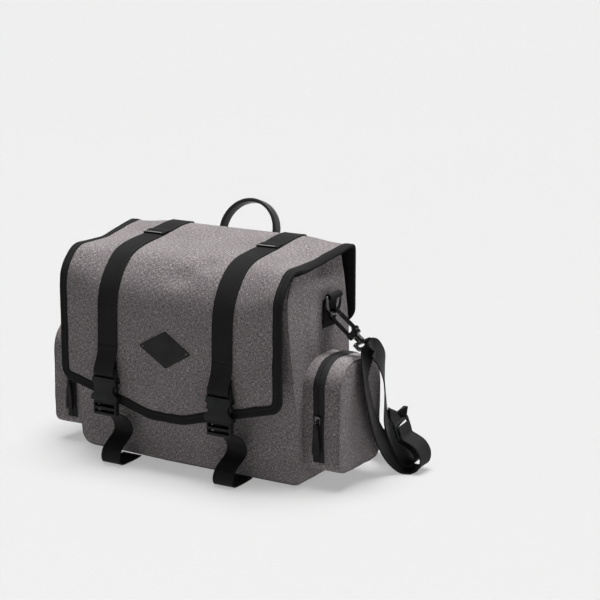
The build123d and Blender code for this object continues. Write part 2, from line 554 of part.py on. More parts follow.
# ---------------------------------------------------------------- shoulder strap
def make_shoulder_strap(eye):
    """Plain runs of webbing: down from both eyes, through the slider, along the floor behind."""
    across_y, up = (0, 1, 0), (0, 0, 1)
    top = (eye.X + 3, RING_Y, eye.Z - 4.5)
    low = (252, 46, 50)
    tip = (268, 78, 20)
    turn = (288, 92, 22)
    slider = (266, 82, 54)
    right = strip(top, low, across_y) + strip(low, tip, across_y) + strip(tip, turn, up)
    right += strip(turn, slider, up) + strip(slider, (257, 46, 150), across_y)
    right += strip((257, 46, 150), top, across_y)
    tail = strip(slider, (232, 104, 28), up) + strip((232, 104, 28), (190, 122, 3), up)
    floor_z = 1.2
    run = [(190, 122, floor_z), (100, 132, floor_z), (-20, 126, floor_z), (-120, 130, floor_z),
           (-190, 118, floor_z)]
    lying = Part()
    for a, b in zip(run, run[1:]):
        lying += strip(a, b, (0, 1, 0))
    left_top = (-top[0], RING_Y, top[2])
    rise = strip(run[-1], (-226, 100, 20), up) + strip((-226, 100, 20), (-240, 70, 80), across_y)
    rise += strip((-240, 70, 80), left_top, across_y)
    strap = right + tail + lying + rise
    for covered in ("swivel_eye_right", "swivel_eye_left", "pocket_cover_right", "pocket_cover_left"):
        strap -= nodes[covered]

    # three-bar slider standing on the strap, its centre bar along Y
    frame = RectangleRounded(24, 42, 3) - Pos(-5.2, 0) * Rectangle(5.6, 35) - Pos(5.2, 0) * Rectangle(5.6, 35)
    along = Vector(-0.28, -0.10, 0.95).normalized()
    plane = Plane(origin=(263, 81, 62), x_dir=along, z_dir=along.cross(Vector(0, 1, 0)))
    nodes["strap_slider"] = extrude(plane * frame, amount=1.5, both=True)
    strap = (strap & block(-400, 400, -200, 300, 0.2, 400)) - nodes["strap_slider"]
    nodes["shoulder_strap"] = strap


# ---------------------------------------------------------------- build and write
outer_body = make_body()
make_flap()
make_buckles()
make_rails()
make_rack_hooks()
make_lower_arm()
make_handle()
make_pockets(outer_body)
snap_plane = make_rings(outer_body)
make_shoulder_strap(snap_plane.from_local_coords(Vector(EYE_A, 0, 0)))

for name, shape in nodes.items():
    export_step(shape, os.path.join(OUT, name + ".step"))
print(len(nodes), "nodes")
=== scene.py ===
"""Bicycle saddle bag: the looks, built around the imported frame.

Lengths are in millimetres until a mesh is made.
"""
import math

import bmesh
import bpy
import numpy as np
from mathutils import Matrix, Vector


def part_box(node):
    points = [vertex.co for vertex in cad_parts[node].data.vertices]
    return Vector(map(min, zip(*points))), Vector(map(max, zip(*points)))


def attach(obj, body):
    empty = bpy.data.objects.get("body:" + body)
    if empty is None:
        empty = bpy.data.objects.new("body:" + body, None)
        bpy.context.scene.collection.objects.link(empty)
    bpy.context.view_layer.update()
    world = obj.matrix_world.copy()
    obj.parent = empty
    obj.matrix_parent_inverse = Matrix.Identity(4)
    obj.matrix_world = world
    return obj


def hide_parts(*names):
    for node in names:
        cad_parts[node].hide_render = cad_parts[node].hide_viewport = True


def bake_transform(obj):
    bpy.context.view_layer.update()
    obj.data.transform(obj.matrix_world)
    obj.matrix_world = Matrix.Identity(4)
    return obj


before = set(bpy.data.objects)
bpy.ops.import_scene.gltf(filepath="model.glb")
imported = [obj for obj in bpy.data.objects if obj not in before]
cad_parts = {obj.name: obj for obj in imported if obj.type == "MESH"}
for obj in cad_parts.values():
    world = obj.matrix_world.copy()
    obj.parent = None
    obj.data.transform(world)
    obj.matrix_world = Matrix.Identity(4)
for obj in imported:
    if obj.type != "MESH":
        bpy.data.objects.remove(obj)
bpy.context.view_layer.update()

MM = 0.001
SIDES = (("right", 1), ("left", -1))
X_AXIS = np.array([1.0, 0, 0])


def mm_box(name):
    """Lowest and highest corner of a CAD node, in millimetres."""
    low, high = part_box(name)
    return np.array(low) / MM, np.array(high) / MM


# ---------------------------------------------------------------- sizes, from the frame
LID_LOW, LID_HIGH = mm_box("flap_lid")
TAIL_LOW = mm_box("flap_back_panel")[0]
STRAP_LOW, STRAP_HIGH = mm_box("flap_strap_right")
FEMALE_LOW, FEMALE_HIGH = mm_box("buckle_female_right")
COVER_LOW, COVER_HIGH = mm_box("pocket_cover_right")
RING_LOW, RING_HIGH = mm_box("d_ring_right")
TAB_LOW = mm_box("ring_tab_right")[0]
EYE_LOW, EYE_HIGH = mm_box("swivel_eye_right")

FLAP_HALF = LID_HIGH[0]                    # at the hinge
FLAP_T = 3.0
BACK = TAIL_LOW[1]                         # outer face of the back wall
TAIL_Z = TAIL_LOW[2]
TIP_Z = LID_LOW[2] - 4.0                   # the soft tip hangs a little lower than the plain lid
FRONT_LEFT, FRONT_RIGHT = 176.0, 187.0     # the flap narrows to these at the roll
WEBBING_T = 2.0
STRAP_X = (STRAP_LOW[0] + STRAP_HIGH[0]) / 2
STRAP_W = STRAP_HIGH[0] - STRAP_LOW[0]
BUCKLE_Y = (FEMALE_LOW[1] + FEMALE_HIGH[1]) / 2
BINDING_W = 12.8
STITCH_INSET = 8.2
FABRIC_T = 2.5


# ---------------------------------------------------------------- curves
def smooth(a, b, t):
    """0 before a, 1 after b, and an easy slope between."""
    t = np.clip((np.asarray(t, float) - a) / (b - a), 0, 1)
    return t * t * (3 - 2 * t)


def lengths(points):
    """Distance along a path, at each of its points."""
    steps = np.linalg.norm(np.diff(points[:, :3], axis=0), axis=1)
    return np.concatenate([[0], np.cumsum(steps)])


def resample(points, count):
    """The same path with evenly spaced points; more than three columns go along."""
    points = np.asarray(points, float)
    along = lengths(points)
    places = np.linspace(0, along[-1], count)
    return np.stack([np.interp(places, along, column) for column in points.T], axis=1)


def spline(points, count):
    """A Catmull-Rom curve through the points, evenly resampled."""
    p = np.asarray(points, float)
    p = np.vstack([2 * p[0] - p[1], p, 2 * p[-1] - p[-2]])
    t = np.linspace(0, 1, 16, endpoint=False)[:, None]
    runs = []
    for a, b, c, d in zip(p, p[1:], p[2:], p[3:]):
        runs.append(0.5 * (2 * b + (c - a) * t + (2 * a - 5 * b + 4 * c - d) * t ** 2
                           + (3 * b - a - 3 * c + d) * t ** 3))
    runs.append(p[-2:-1])
    return resample(np.vstack(runs), count)


def rounded(corners, radii, steps=8):
    """A closed 2-D outline with each corner replaced by an arc of its radius."""
    outline = []
    count = len(corners)
    for i, corner in enumerate(corners):
        here = np.array(corner, float)
        back = np.array(corners[i - 1], float) - here
        ahead = np.array(corners[(i + 1) % count], float) - here
        back /= np.linalg.norm(back)
        ahead /= np.linalg.norm(ahead)
        half = math.acos(np.clip(back @ ahead, -1, 1)) / 2
        reach = radii[i] / math.tan(half)
        centre = here + (back + ahead) / np.linalg.norm(back + ahead) * radii[i] / math.sin(half)
        start, end = here + back * reach - centre, here + ahead * reach - centre
        for t in np.linspace(0, 1, steps):
            arm = start * math.sin((1 - t) * (math.pi - 2 * half)) + end * math.sin(t * (math.pi - 2 * half))
            outline.append(centre + arm / math.sin(math.pi - 2 * half))
    return np.array(outline)


def circle(radius, count=8):
    """A round section."""
    angles = np.linspace(0, 2 * math.pi, count, endpoint=False)
    return [(radius * math.cos(a), radius * math.sin(a)) for a in angles]


def loop(points):
    """The points with the first one again at the end."""
    return np.concatenate([points, points[:1]])


def flat_path(points):
    """2-D points with a zero third column."""
    return np.column_stack([points, np.zeros(len(points))])


def uv_grid(across, along):
    """UV pairs for rows at `along` and columns at `across`."""
    return np.stack(np.broadcast_arrays(np.asarray(across)[None, :], np.asarray(along)[:, None]), axis=-1)


def ripple(u, v, seed):
    """Gentle unevenness of a soft surface, about -1 to 1."""
    total = np.zeros(np.broadcast(u, v).shape)
    for i in range(1, 6):
        angle = seed * 1.7 + i * 2.4
        wave = 0.012 * i + 0.006
        total = total + np.sin(wave * (u * math.cos(angle) + v * math.sin(angle)) * 2.2 + seed * i) / (i + 1)
    return total


# ---------------------------------------------------------------- meshes
class Builder:
    """Collects grids and caps in millimetres, then makes one clean mesh in metres."""

    def __init__(self):
        self.points, self.faces, self.uvs, self.slots = [], [], [], []

    def grid(self, points, uv, wrap=False, slot=0):
        """Quads over a rows x columns array; with wrap, the last column joins the first."""
        rows, cols = points.shape[:2]
        base = len(self.points)
        self.points.extend(points.reshape(-1, 3))
        for r in range(rows - 1):
            for c in range(cols if wrap else cols - 1):
                d = (c + 1) % cols
                a, b = base + r * cols, base + (r + 1) * cols
                self.faces.append((a + c, a + d, b + d, b + c))
                self.uvs.append((uv[r][c], uv[r][c + 1], uv[r + 1][c + 1], uv[r + 1][c]))
                self.slots.append(slot)

    def cap(self, ring, slot=0):
        """One flat face over a closed ring of points."""
        base = len(self.points)
        self.points.extend(ring)
        self.faces.append(tuple(range(base, base + len(ring))))
        self.uvs.append(tuple((0.0, 0.0) for _ in ring))
        self.slots.append(slot)

    def tube(self, points, uv):
        """A closed rod: rings of points, and a cap at each end."""
        self.grid(points, uv, wrap=True)
        self.cap(points[0])
        self.cap(points[-1])

    def shell(self, outer, inner, uv):
        """A sheet with thickness, closed round its four edges, lined with the second material."""
        self.grid(outer, uv, slot=0)
        self.grid(inner, uv, slot=1)
        for pick in (np.s_[0, :], np.s_[-1, :], np.s_[:, 0], np.s_[:, -1]):
            wall = np.stack([outer[pick], inner[pick]])
            self.grid(wall, np.stack([uv[pick], uv[pick]]), slot=1)

    def sweep(self, path, sides, section):
        """A closed section of (side, up) points carried along a path.

        sides is the section's side direction, one for all the points or one for each.
        """
        tangent = np.gradient(path, axis=0)
        tangent /= np.linalg.norm(tangent, axis=1)[:, None]
        sides = sides - tangent * np.sum(sides * tangent, axis=1)[:, None]
        sides /= np.linalg.norm(sides, axis=1)[:, None]
        ups = np.cross(tangent, sides)
        section = np.asarray(section, float)
        points = (path[:, None, :] + sides[:, None, :] * section[None, :, 0, None]
                  + ups[:, None, :] * section[None, :, 1, None])
        self.tube(points, uv_grid(loop(section)[:, 0], lengths(path)))

    def make(self, name, *materials):
        """The finished object, with shared points merged and normals facing out."""
        mesh = bpy.data.meshes.new(name)
        points = [tuple(p * MM for p in point) for point in self.points]
        mesh.from_pydata(points, [], self.faces)
        layer = mesh.uv_layers.new(name="UVMap")
        flat = [value * MM for face in self.uvs for corner in face for value in corner]
        layer.data.foreach_set("uv", flat)
        mesh.polygons.foreach_set("material_index", self.slots)
        work = bmesh.new()
        work.from_mesh(mesh)
        bmesh.ops.remove_doubles(work, verts=work.verts, dist=2e-6)
        bmesh.ops.dissolve_degenerate(work, edges=work.edges, dist=1e-7)
        bmesh.ops.recalc_face_normals(work, faces=work.faces)
        work.to_mesh(mesh)
        work.free()
        for finish in materials:
            mesh.materials.append(finish)
        mesh.shade_smooth()
        mesh.set_sharp_from_angle(angle=math.radians(50))
        made = bpy.data.objects.new(name, mesh)
        bpy.context.scene.collection.objects.link(made)
        return made


def webbing_section(width, thickness):
    """Flat webbing, a little thicker along its selvedges."""
    half, h = width / 2, thickness / 2
    top = [(-half, 0.35 * h), (-half + 0.5, 0.95 * h), (-half + 1.6, h), (-half + 3.0, 0.82 * h),
           (0, 0.82 * h), (half - 3.0, 0.82 * h), (half - 1.6, h), (half - 0.5, 0.95 * h), (half, 0.35 * h)]
    return top + [(x, -y) for x, y in reversed(top)]


def band_section(width, thickness, corner):
    """A rounded rectangle, for a moulded band."""
    half, h = width / 2, thickness / 2
    return rounded([(-half, -h), (half, -h), (half, h), (-half, h)], [corner] * 4, steps=5)


def ribbon(name, points, sides, width, finish, count, thickness=WEBBING_T):
    """Webbing along a smooth path; each control point has its own width direction."""
    rows = np.hstack([np.array(points, float), np.array(sides, float)])
    rows = spline(rows, count)
    build = Builder()
    build.sweep(rows[:, :3], rows[:, 3:], webbing_section(width, thickness))
    made = build.make(name, finish)
    return made


def stitches(name, path, normals, finish, pitch=3.4, length=2.3, radius=0.32):
    """A row of short raised stitches along a path."""
    path = np.asarray(path, float)
    normals = np.broadcast_to(normals, path.shape)
    total = lengths(path)[-1]
    rows = resample(np.hstack([path, normals]), max(int(total / pitch) * 2 + 1, 3))
    build = Builder()
    ring, lift = circle(radius, 6), 0.15
    for i in range(1, len(rows) - 1, 2):
        centre, up = rows[i, :3], rows[i, 3:]
        along = rows[i + 1, :3] - rows[i - 1, :3]
        along /= np.linalg.norm(along)
        side = np.cross(along, up)
        side /= np.linalg.norm(side)
        up = np.cross(side, along)
        rings = []
        for t, scale, rise in ((-1, 0.45, -0.2), (-0.7, 1, 0), (0.7, 1, 0), (1, 0.45, -0.2)):
            middle = centre + along * t * length / 2 + up * (lift + rise)
            rings.append([middle + side * a * scale + up * b * scale for a, b in ring])
        build.tube(np.array(rings), np.zeros((len(rings), len(ring) + 1, 2)))
    return build.make(name, finish)


# ---------------------------------------------------------------- materials
class Paint:
    """A node material under construction. Calls add nodes and return their output sockets."""

    def __init__(self, name, roughness, specular=0.5, metallic=0.0):
        self.material = bpy.data.materials.new(name)
        self.material.use_nodes = True
        self.tree = self.material.node_tree
        self.surface = self.tree.nodes["Principled BSDF"]
        self.surface.inputs["Roughness"].default_value = roughness
        self.surface.inputs["Specular IOR Level"].default_value = specular
        self.surface.inputs["Metallic"].default_value = metallic
        self.place = self.add("ShaderNodeTexCoord")

    def add(self, kind, **settings):
        made = self.tree.nodes.new(kind)
        for key, value in settings.items():
            setattr(made, key, value)
        return made

    def feed(self, socket, value):
        if isinstance(value, bpy.types.NodeSocket):
            self.tree.links.new(value, socket)
        else:
            socket.default_value = value

    def math(self, operation, *values):
        made = self.add("ShaderNodeMath", operation=operation)
        for socket, value in zip(made.inputs, values):
            self.feed(socket, value)
        return made.outputs[0]

    def stretch(self, scale, space="UV"):
        made = self.add("ShaderNodeMapping")
        self.feed(made.inputs["Vector"], self.place.outputs[space])
        made.inputs["Scale"].default_value = scale
        return made.outputs[0]

    def noise(self, scale, space="UV", detail=3.0, rough=0.55):
        made = self.add("ShaderNodeTexNoise")
        self.feed(made.inputs["Vector"], self.stretch(scale, space))
        made.inputs["Scale"].default_value = 1.0
        made.inputs["Detail"].default_value = detail
        made.inputs["Roughness"].default_value = rough
        return made.outputs[0]

    def wave(self, axis, pitch):
        """Even ribs, 0 to 1, a pitch in metres apart along one axis."""
        split = self.add("ShaderNodeSeparateXYZ")
        self.feed(split.inputs[0], self.place.outputs["UV"])
        turns = self.math("MULTIPLY", split.outputs[axis], 2 * math.pi / pitch)
        return self.math("MULTIPLY_ADD", self.math("SINE", turns), 0.5, 0.5)

    def ramp(self, value, *stops):
        made = self.add("ShaderNodeValToRGB")
        elements = made.color_ramp.elements
        while len(elements) < len(stops):
            elements.new(0.5)
        for element, (place, colour) in zip(elements, stops):
            element.position = place
            element.color = (*colour, 1.0)
        self.feed(made.inputs[0], value)
        return made.outputs[0]

    def bump(self, height, distance, strength=1.0):
        made = self.add("ShaderNodeBump")
        made.inputs["Distance"].default_value = distance
        made.inputs["Strength"].default_value = strength
        self.feed(made.inputs["Height"], height)
        self.feed(self.surface.inputs["Normal"], made.outputs[0])

    def set(self, **values):
        for key, value in values.items():
            self.feed(self.surface.inputs[key.replace("_", " ")], value)


def grey(level, tint=(1.0, 0.985, 0.985)):
    """A grey of this brightness, faintly warm."""
    return tuple(level * part for part in tint)


def heather_fabric():
    """Coated melange: dark and light yarns crossing, with pale flecks."""
    paint = Paint("heather_fabric", 0.85, 0.12)
    warp = paint.noise((760, 230, 1), detail=2, rough=0.6)
    weft = paint.noise((220, 800, 1), detail=2, rough=0.6)
    fleck = paint.noise((520, 520, 1), detail=4, rough=0.75)
    cloud = paint.noise((18, 18, 1), detail=2)
    yarn = paint.math("MULTIPLY", paint.math("ADD", warp, weft), 0.36)
    value = paint.math("ADD", yarn, paint.math("MULTIPLY", fleck, 0.26))
    value = paint.math("ADD", value, paint.math("MULTIPLY", cloud, 0.06))
    warm = (1.0, 0.9, 0.915)
    colour = paint.ramp(value, (0.38, grey(0.042, warm)), (0.47, grey(0.11, warm)),
                        (0.55, grey(0.185, warm)), (0.66, grey(0.46, warm)))
    paint.set(Base_Color=colour, Sheen_Weight=0.06, Sheen_Roughness=0.5)
    ribs = paint.math("MULTIPLY", paint.wave(0, 0.0011), paint.wave(1, 0.0011))
    paint.bump(paint.math("ADD", paint.math("MULTIPLY", ribs, 0.4), value), 0.0006, 0.7)
    return paint.material


def black_cloth(name, level, pitch, roughness=0.75):
    """Close-woven black tape or lining with a faint rib and dust."""
    paint = Paint(name, roughness, 0.04)
    dust = paint.noise((300, 900, 1), detail=3, rough=0.7)
    paint.set(Base_Color=paint.ramp(dust, (0.3, grey(level * 0.7)), (0.7, grey(level * 1.5))))
    ribs = paint.wave(1, pitch)
    paint.bump(paint.math("ADD", ribs, dust), 0.0003, 0.5)
    return paint.material


def webbing_cloth():
    """Nylon webbing: fine ribs across, and a flat weave between them."""
    paint = Paint("webbing", 0.5, 0.05)
    ribs = paint.wave(1, 0.0016)
    yarns = paint.wave(0, 0.0011)
    fuzz = paint.noise((700, 700, 1), detail=3, rough=0.7)
    weave = paint.math("ADD", ribs, paint.math("MULTIPLY", yarns, 0.35))
    value = paint.math("MULTIPLY", weave, 0.3)
    value = paint.math("ADD", value, paint.math("MULTIPLY", fuzz, 0.5))
    paint.set(Base_Color=paint.ramp(value, (0.2, grey(0.008)), (0.8, grey(0.021))), Sheen_Weight=0.02,
              Sheen_Roughness=0.4)
    paint.bump(weave, 0.0004, 0.6)
    return paint.material


def plastic(name, level, roughness, tint=(1, 1, 1)):
    """Satin moulded plastic with a fine spark-eroded grain and rubbed patches."""
    paint = Paint(name, roughness, 0.13)
    grain = paint.noise((1500, 1500, 1500), "Object", detail=2)
    rubbed = paint.noise((60, 60, 60), "Object", detail=3)
    paint.set(Base_Color=paint.ramp(rubbed, (0.3, tuple(level * t * 0.8 for t in tint)),
                                    (0.75, tuple(level * t * 1.3 for t in tint))))
    paint.set(Roughness=paint.math("MULTIPLY_ADD", rubbed, 0.2, roughness - 0.1))
    paint.bump(grain, 0.0001, 0.35)
    return paint.material


def metal(name, level, roughness):
    """Plated metal, faintly smeared along its length."""
    paint = Paint(name, roughness, 0.5, 1.0)
    smear = paint.noise((90, 90, 400), "Object", detail=3)
    paint.set(Base_Color=paint.ramp(smear, (0.3, grey(level * 0.8)), (0.7, grey(level * 1.15))))
    paint.set(Roughness=paint.math("MULTIPLY_ADD", smear, 0.15, roughness))
    paint.bump(smear, 0.00005, 0.3)
    return paint.material


def leather(name, level, roughness):
    """Smooth dark leather-like sheet with a tiny pebble grain."""
    paint = Paint(name, roughness, 0.1)
    pebble = paint.add("ShaderNodeTexVoronoi", feature="DISTANCE_TO_EDGE")
    paint.feed(pebble.inputs["Vector"], paint.stretch((900, 900, 900), "Object"))
    pebble.inputs["Scale"].default_value = 1.0
    tone = paint.noise((50, 50, 50), "Object", detail=3)
    paint.set(Base_Color=paint.ramp(tone, (0.3, grey(level * 0.85)), (0.7, grey(level * 1.2))))
    paint.bump(pebble.outputs[0], 0.0002, 0.3)
    return paint.material


def thread(name, level):
    """Twisted sewing thread."""
    paint = Paint(name, 0.7, 0.3)
    twist = paint.noise((2500, 2500, 2500), "Object", detail=1)
    paint.set(Base_Color=paint.ramp(twist, (0.3, grey(level * 0.8)), (0.7, grey(level * 1.2))))
    paint.bump(twist, 0.0001, 0.4)
    return paint.material


HEATHER = heather_fabric()
BINDING = black_cloth("black_binding", 0.013, 0.0009)
LINING = black_cloth("black_lining", 0.012, 0.0014, 0.6)
COATED = black_cloth("coated_black", 0.02, 0.0012, 0.5)
WEBBING = webbing_cloth()
BUCKLE_PLASTIC = plastic("buckle_plastic", 0.009, 0.3, (0.95, 1.05, 1.0))
RAIL_PLASTIC = plastic("rail_plastic", 0.014, 0.4)
BOARD = plastic("board", 0.03, 0.6)
STEEL = metal("screw_steel", 0.75, 0.15)
BLACK_NICKEL = metal("black_nickel", 0.085, 0.13)
PATCH = leather("patch_leather", 0.02, 0.55)
BAND = leather("handle_band", 0.034, 0.3)
DARK_THREAD = thread("dark_thread", 0.022)
PALE_THREAD = thread("pale_thread", 0.4)


# ---------------------------------------------------------------- flap
# Flat coordinates: x across, s down the length from the top of the fixed tail, over the roll to the front.
FLAP_TOP_Z, FLAP_DROP_Z = 300.0, 190.0     # the shaped stretch lies between these heights
TAIL_FACE = BACK + FLAP_T + 0.3
MIDDLE = [(TAIL_FACE, 300), (78.2, 308), (77.2, 313.6), (74.5, 317.8), (70, 319.8), (60, 320.2),
          (43, 319.2), (20, 316.2), (0, 312.8), (-25, 310), (-50, 306.3), (-65, 302.3), (-76, 297),
          (-87, 288), (-97, 276.5), (-105, 263.5), (-110.5, 249), (-113.5, 232), (-114.5, 212),
          (-115, 190)]
EDGE = [(TAIL_FACE, 300), (78.2, 306.5), (77, 311.2), (74, 314), (68, 314.8), (60, 314.4), (40, 312.8),
        (20, 310.6), (0, 308.0), (-20, 306.0), (-50, 305.0), (-72, 304.6), (-82, 302.8), (-91, 298.5),
        (-100, 290.5), (-108, 281), (-113.5, 269), (-115.5, 255), (-116, 235), (-116, 190)]


def profile(points):
    """The (y, z) curve through the points, finely divided."""
    return spline([(0.0, y, z) for y, z in points], 360)[:, 1:]


MIDDLE_CURVE, EDGE_CURVE = profile(MIDDLE), profile(EDGE)
RUN = lengths(np.insert(MIDDLE_CURVE, 0, 0, axis=1))[-1]
ROLL_S = RUN - 190.0                       # where the flap has narrowed to the front's width


def s_at(z):
    """Flat length of a height on the hanging front."""
    return RUN + FLAP_DROP_Z - z


def half_width(x, s):
    """Real half width at s, on the side of x."""
    share = np.clip((np.asarray(s, float) - 12) / (ROLL_S - 12), 0, 1)
    return FLAP_HALF + (np.where(np.asarray(x) > 0, FRONT_RIGHT, FRONT_LEFT) - FLAP_HALF) * share


# Shallow dents in the soft front: x, s, half sizes and depth
DENTS = ((48, RUN - 122, 17, 13, 4.5), (14, RUN - 96, 22, 15, 4.0), (150, RUN - 92, 22, 30, 4.0))

# The free edge turns down along the top, more on the right
CURL_X, CURL_RADIUS = 176.0, 9.0
CURL_RIGHT, CURL_LEFT = 1.0, 0.15


def drape(x, s):
    """Outer face of the flap over flat coordinates."""
    x, s = np.broadcast_arrays(np.asarray(x, float), np.asarray(s, float))
    share = np.clip(s / RUN, 0, 1) * (len(MIDDLE_CURVE) - 1)
    steps = np.arange(len(MIDDLE_CURVE))
    side = smooth(112, 172, np.abs(x))
    shape = []
    for k in (0, 1):
        middle = np.interp(share, steps, MIDDLE_CURVE[:, k])
        edge = np.interp(share, steps, EDGE_CURVE[:, k])
        shape.append(middle * (1 - side) + edge * side)
    y, z = shape
    z = z + np.minimum(s, 0) - np.maximum(s - RUN, 0)
    wide = x * half_width(x, s) / FLAP_HALF
    reach = np.maximum(np.abs(x) - CURL_X, 0)
    amount = smooth(22, 60, s) * (1 - smooth(ROLL_S + 10, ROLL_S + 70, s))
    bend = amount * np.where(x > 0, CURL_RIGHT, CURL_LEFT) / CURL_RADIUS + 1e-6
    wide = wide + np.sign(x) * (np.sin(bend * reach) / bend - reach)
    z = z - (1 - np.cos(bend * reach)) / bend
    soft = smooth(25, 70, s) * ripple(x, s, 1.3)
    for at_x, at_s, wide_x, long_s, depth in DENTS:
        dent = depth * np.exp(-((x - at_x) / wide_x) ** 2 - ((s - at_s) / long_s) ** 2)
        y, z = y + 0.8 * dent, z - 0.6 * dent
    y = y - 0.5 * soft * smooth(RUN - 60, RUN, s)
    z = z + 0.7 * soft * (1 - smooth(RUN - 90, RUN - 30, s))
    return np.stack([wide, y, z], axis=-1)


def on_sheet(x, s, h=0.0):
    """A point at flat coordinates, lifted h off the outer face."""
    step = 0.5
    here = drape(x, s)
    across = drape(np.asarray(x, float) + step, s) - drape(np.asarray(x, float) - step, s)
    down = drape(x, np.asarray(s, float) + step) - drape(x, np.asarray(s, float) - step)
    normal = np.cross(down, across)
    normal /= np.linalg.norm(normal, axis=-1)[..., None]
    return here + normal * np.asarray(h, float)[..., None]


def on_flap(x, s, h=0.0):
    """The same for a real distance x from the middle."""
    return on_sheet(np.asarray(x, float) * FLAP_HALF / half_width(x, s), s, h)


def seam_on(place, x, s, height):
    """Points and normals of a seam; place is on_sheet or on_flap."""
    seam = place(x, s, height)
    return seam, place(x, s, height + 1) - seam


TAIL_S = TAIL_Z - FLAP_TOP_Z
SIDE_END_Z, TIP_HALF = 121.0, 28.0
OUTLINE = rounded(
    [(-FLAP_HALF, TAIL_S), (FLAP_HALF, TAIL_S), (FLAP_HALF, s_at(SIDE_END_Z)), (TIP_HALF, s_at(TIP_Z)),
     (-TIP_HALF, s_at(TIP_Z)), (-FLAP_HALF, s_at(SIDE_END_Z))],
    [22, 22, 20, 62, 62, 20], steps=12)


def flap_columns():
    """Flat x of the sheet's columns, closer together at the sides."""
    inner = np.linspace(-1, 1, 89)
    return FLAP_HALF * np.sin(inner * math.pi / 2) * 0.35 + FLAP_HALF * inner * 0.65


def dense_rows(fold_start, fold_end, end, before, inside, after, start=0):
    """Places from start to end, closer together across the fold."""
    return np.concatenate([np.linspace(start, fold_start, before, endpoint=False),
                           np.linspace(fold_start, fold_end, inside, endpoint=False),
                           np.linspace(fold_end, end, after)])


def outline_limits(x):
    """The flap's two ends at flat x: tail and front."""
    tail = OUTLINE[OUTLINE[:, 1] < RUN / 2]
    front = OUTLINE[OUTLINE[:, 1] > RUN / 2]
    tail, front = tail[np.argsort(tail[:, 0])], front[np.argsort(front[:, 0])]
    return np.interp(x, tail[:, 0], tail[:, 1]), np.interp(x, front[:, 0], front[:, 1])


def make_flap():
    """The whole flap as one sheet, from the sewn tail over the roll to the tip."""
    x = flap_columns()
    top, bottom = outline_limits(x)
    levels = dense_rows(0.17, 0.27, 1, 24, 34, 120)
    s = top[None, :] + levels[:, None] * (bottom - top)[None, :]
    x = np.broadcast_to(x, s.shape)
    build = Builder()
    build.shell(on_sheet(x, s), on_sheet(x, s, -FLAP_T), np.stack([x, s], axis=-1))
    flap = build.make("flap_sheet", HEATHER, LINING)
    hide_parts("flap_lid", "flap_back_panel")
    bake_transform(flap)


def outline_frames(count):
    """Even points round the flap's outline, and the direction to the inside at each."""
    path = resample(flat_path(loop(OUTLINE)), count + 1)[:, :2]
    ahead = np.roll(path[:-1], -1, axis=0) - np.roll(path[:-1], 1, axis=0)
    ahead /= np.linalg.norm(ahead, axis=1)[:, None]
    inward = np.stack([-ahead[:, 1], ahead[:, 0]], axis=1)
    return path[:-1], inward


def make_binding():
    """Folded tape round the whole outline, sewn through."""
    path, inward = outline_frames(620)
    w, t = BINDING_W, FLAP_T
    face = [(w, 0), (w - 0.1, 0.75), (w - 0.8, 1.0), (w - 3, 0.95), (w - 6, 1.1), (2, 1.1), (0.4, 0.9)]
    edge = [(-0.7, 0.1), (-1.1, -t / 2), (-0.7, -t - 0.1), (0.4, -t - 0.9), (2, -t - 1.1), (w - 2, -t - 1.0)]
    under = [(w - 0.1, -t - 0.7), (w, -t), (w / 2, -t), (0.05, -t), (0.05, 0), (w / 2, 0)]
    section = np.array(face + edge + under)
    wobble = 0.35 * np.sin(np.arange(len(path)) * 0.37) + 0.3 * np.sin(np.arange(len(path)) * 0.11)
    depth = section[None, :, 0] + wobble[:, None] * (section[None, :, 0] > w - 1)
    x = path[:, None, 0] + inward[:, None, 0] * depth
    s = path[:, None, 1] + inward[:, None, 1] * depth
    points = on_sheet(x, s, section[None, :, 1])
    uv = uv_grid(lengths(flat_path(loop(section))), lengths(flat_path(loop(path))))
    build = Builder()
    build.grid(loop(points), uv, wrap=True)
    tape = build.make("flap_binding", BINDING)
    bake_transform(tape)

    x, s = (path + inward * STITCH_INSET).T
    seam, normals = seam_on(on_sheet, x, s, 1.0)
    row = stitches("flap_binding_stitches", loop(seam), loop(normals), DARK_THREAD, pitch=3.6)
    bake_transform(row)


SPLICE_S, SPLICE_OVERLAP = 99.0, 14.0      # the rear strap is sewn on top of the front one here
STRAP_SECTION = np.array(webbing_section(STRAP_W, WEBBING_T))
ON_FACE = 0.1                              # the strap's underside lies this far off the flap
LEAVE_Z = 176.0                            # where the front strap leaves the flap for its buckle


def strap_on_flap(x_middle, s_values):
    """Rings and UVs of webbing lying on the flap."""
    across, up = STRAP_SECTION.T
    points = on_flap(x_middle + across, s_values[:, None], ON_FACE + WEBBING_T / 2 + up)
    return points, uv_grid(loop(STRAP_SECTION)[:, 0], s_values)


def wrap_route():
    """(y, z) of the strap from the flap's face, round the buckle's top bar and back up behind it."""
    y = BUCKLE_Y
    return [(-116.9, LEAVE_Z), (-118.0, 166), (-120.6, 158), (y - 1.2, 151), (y - 3.6, 145),
            (y - 4.3, 139.5), (y - 3.4, 135.2), (y - 0.6, 133.3), (y + 2.2, 134.4), (y + 3.7, 138.5),
            (y + 4.2, 146), (y + 4.6, 156)]


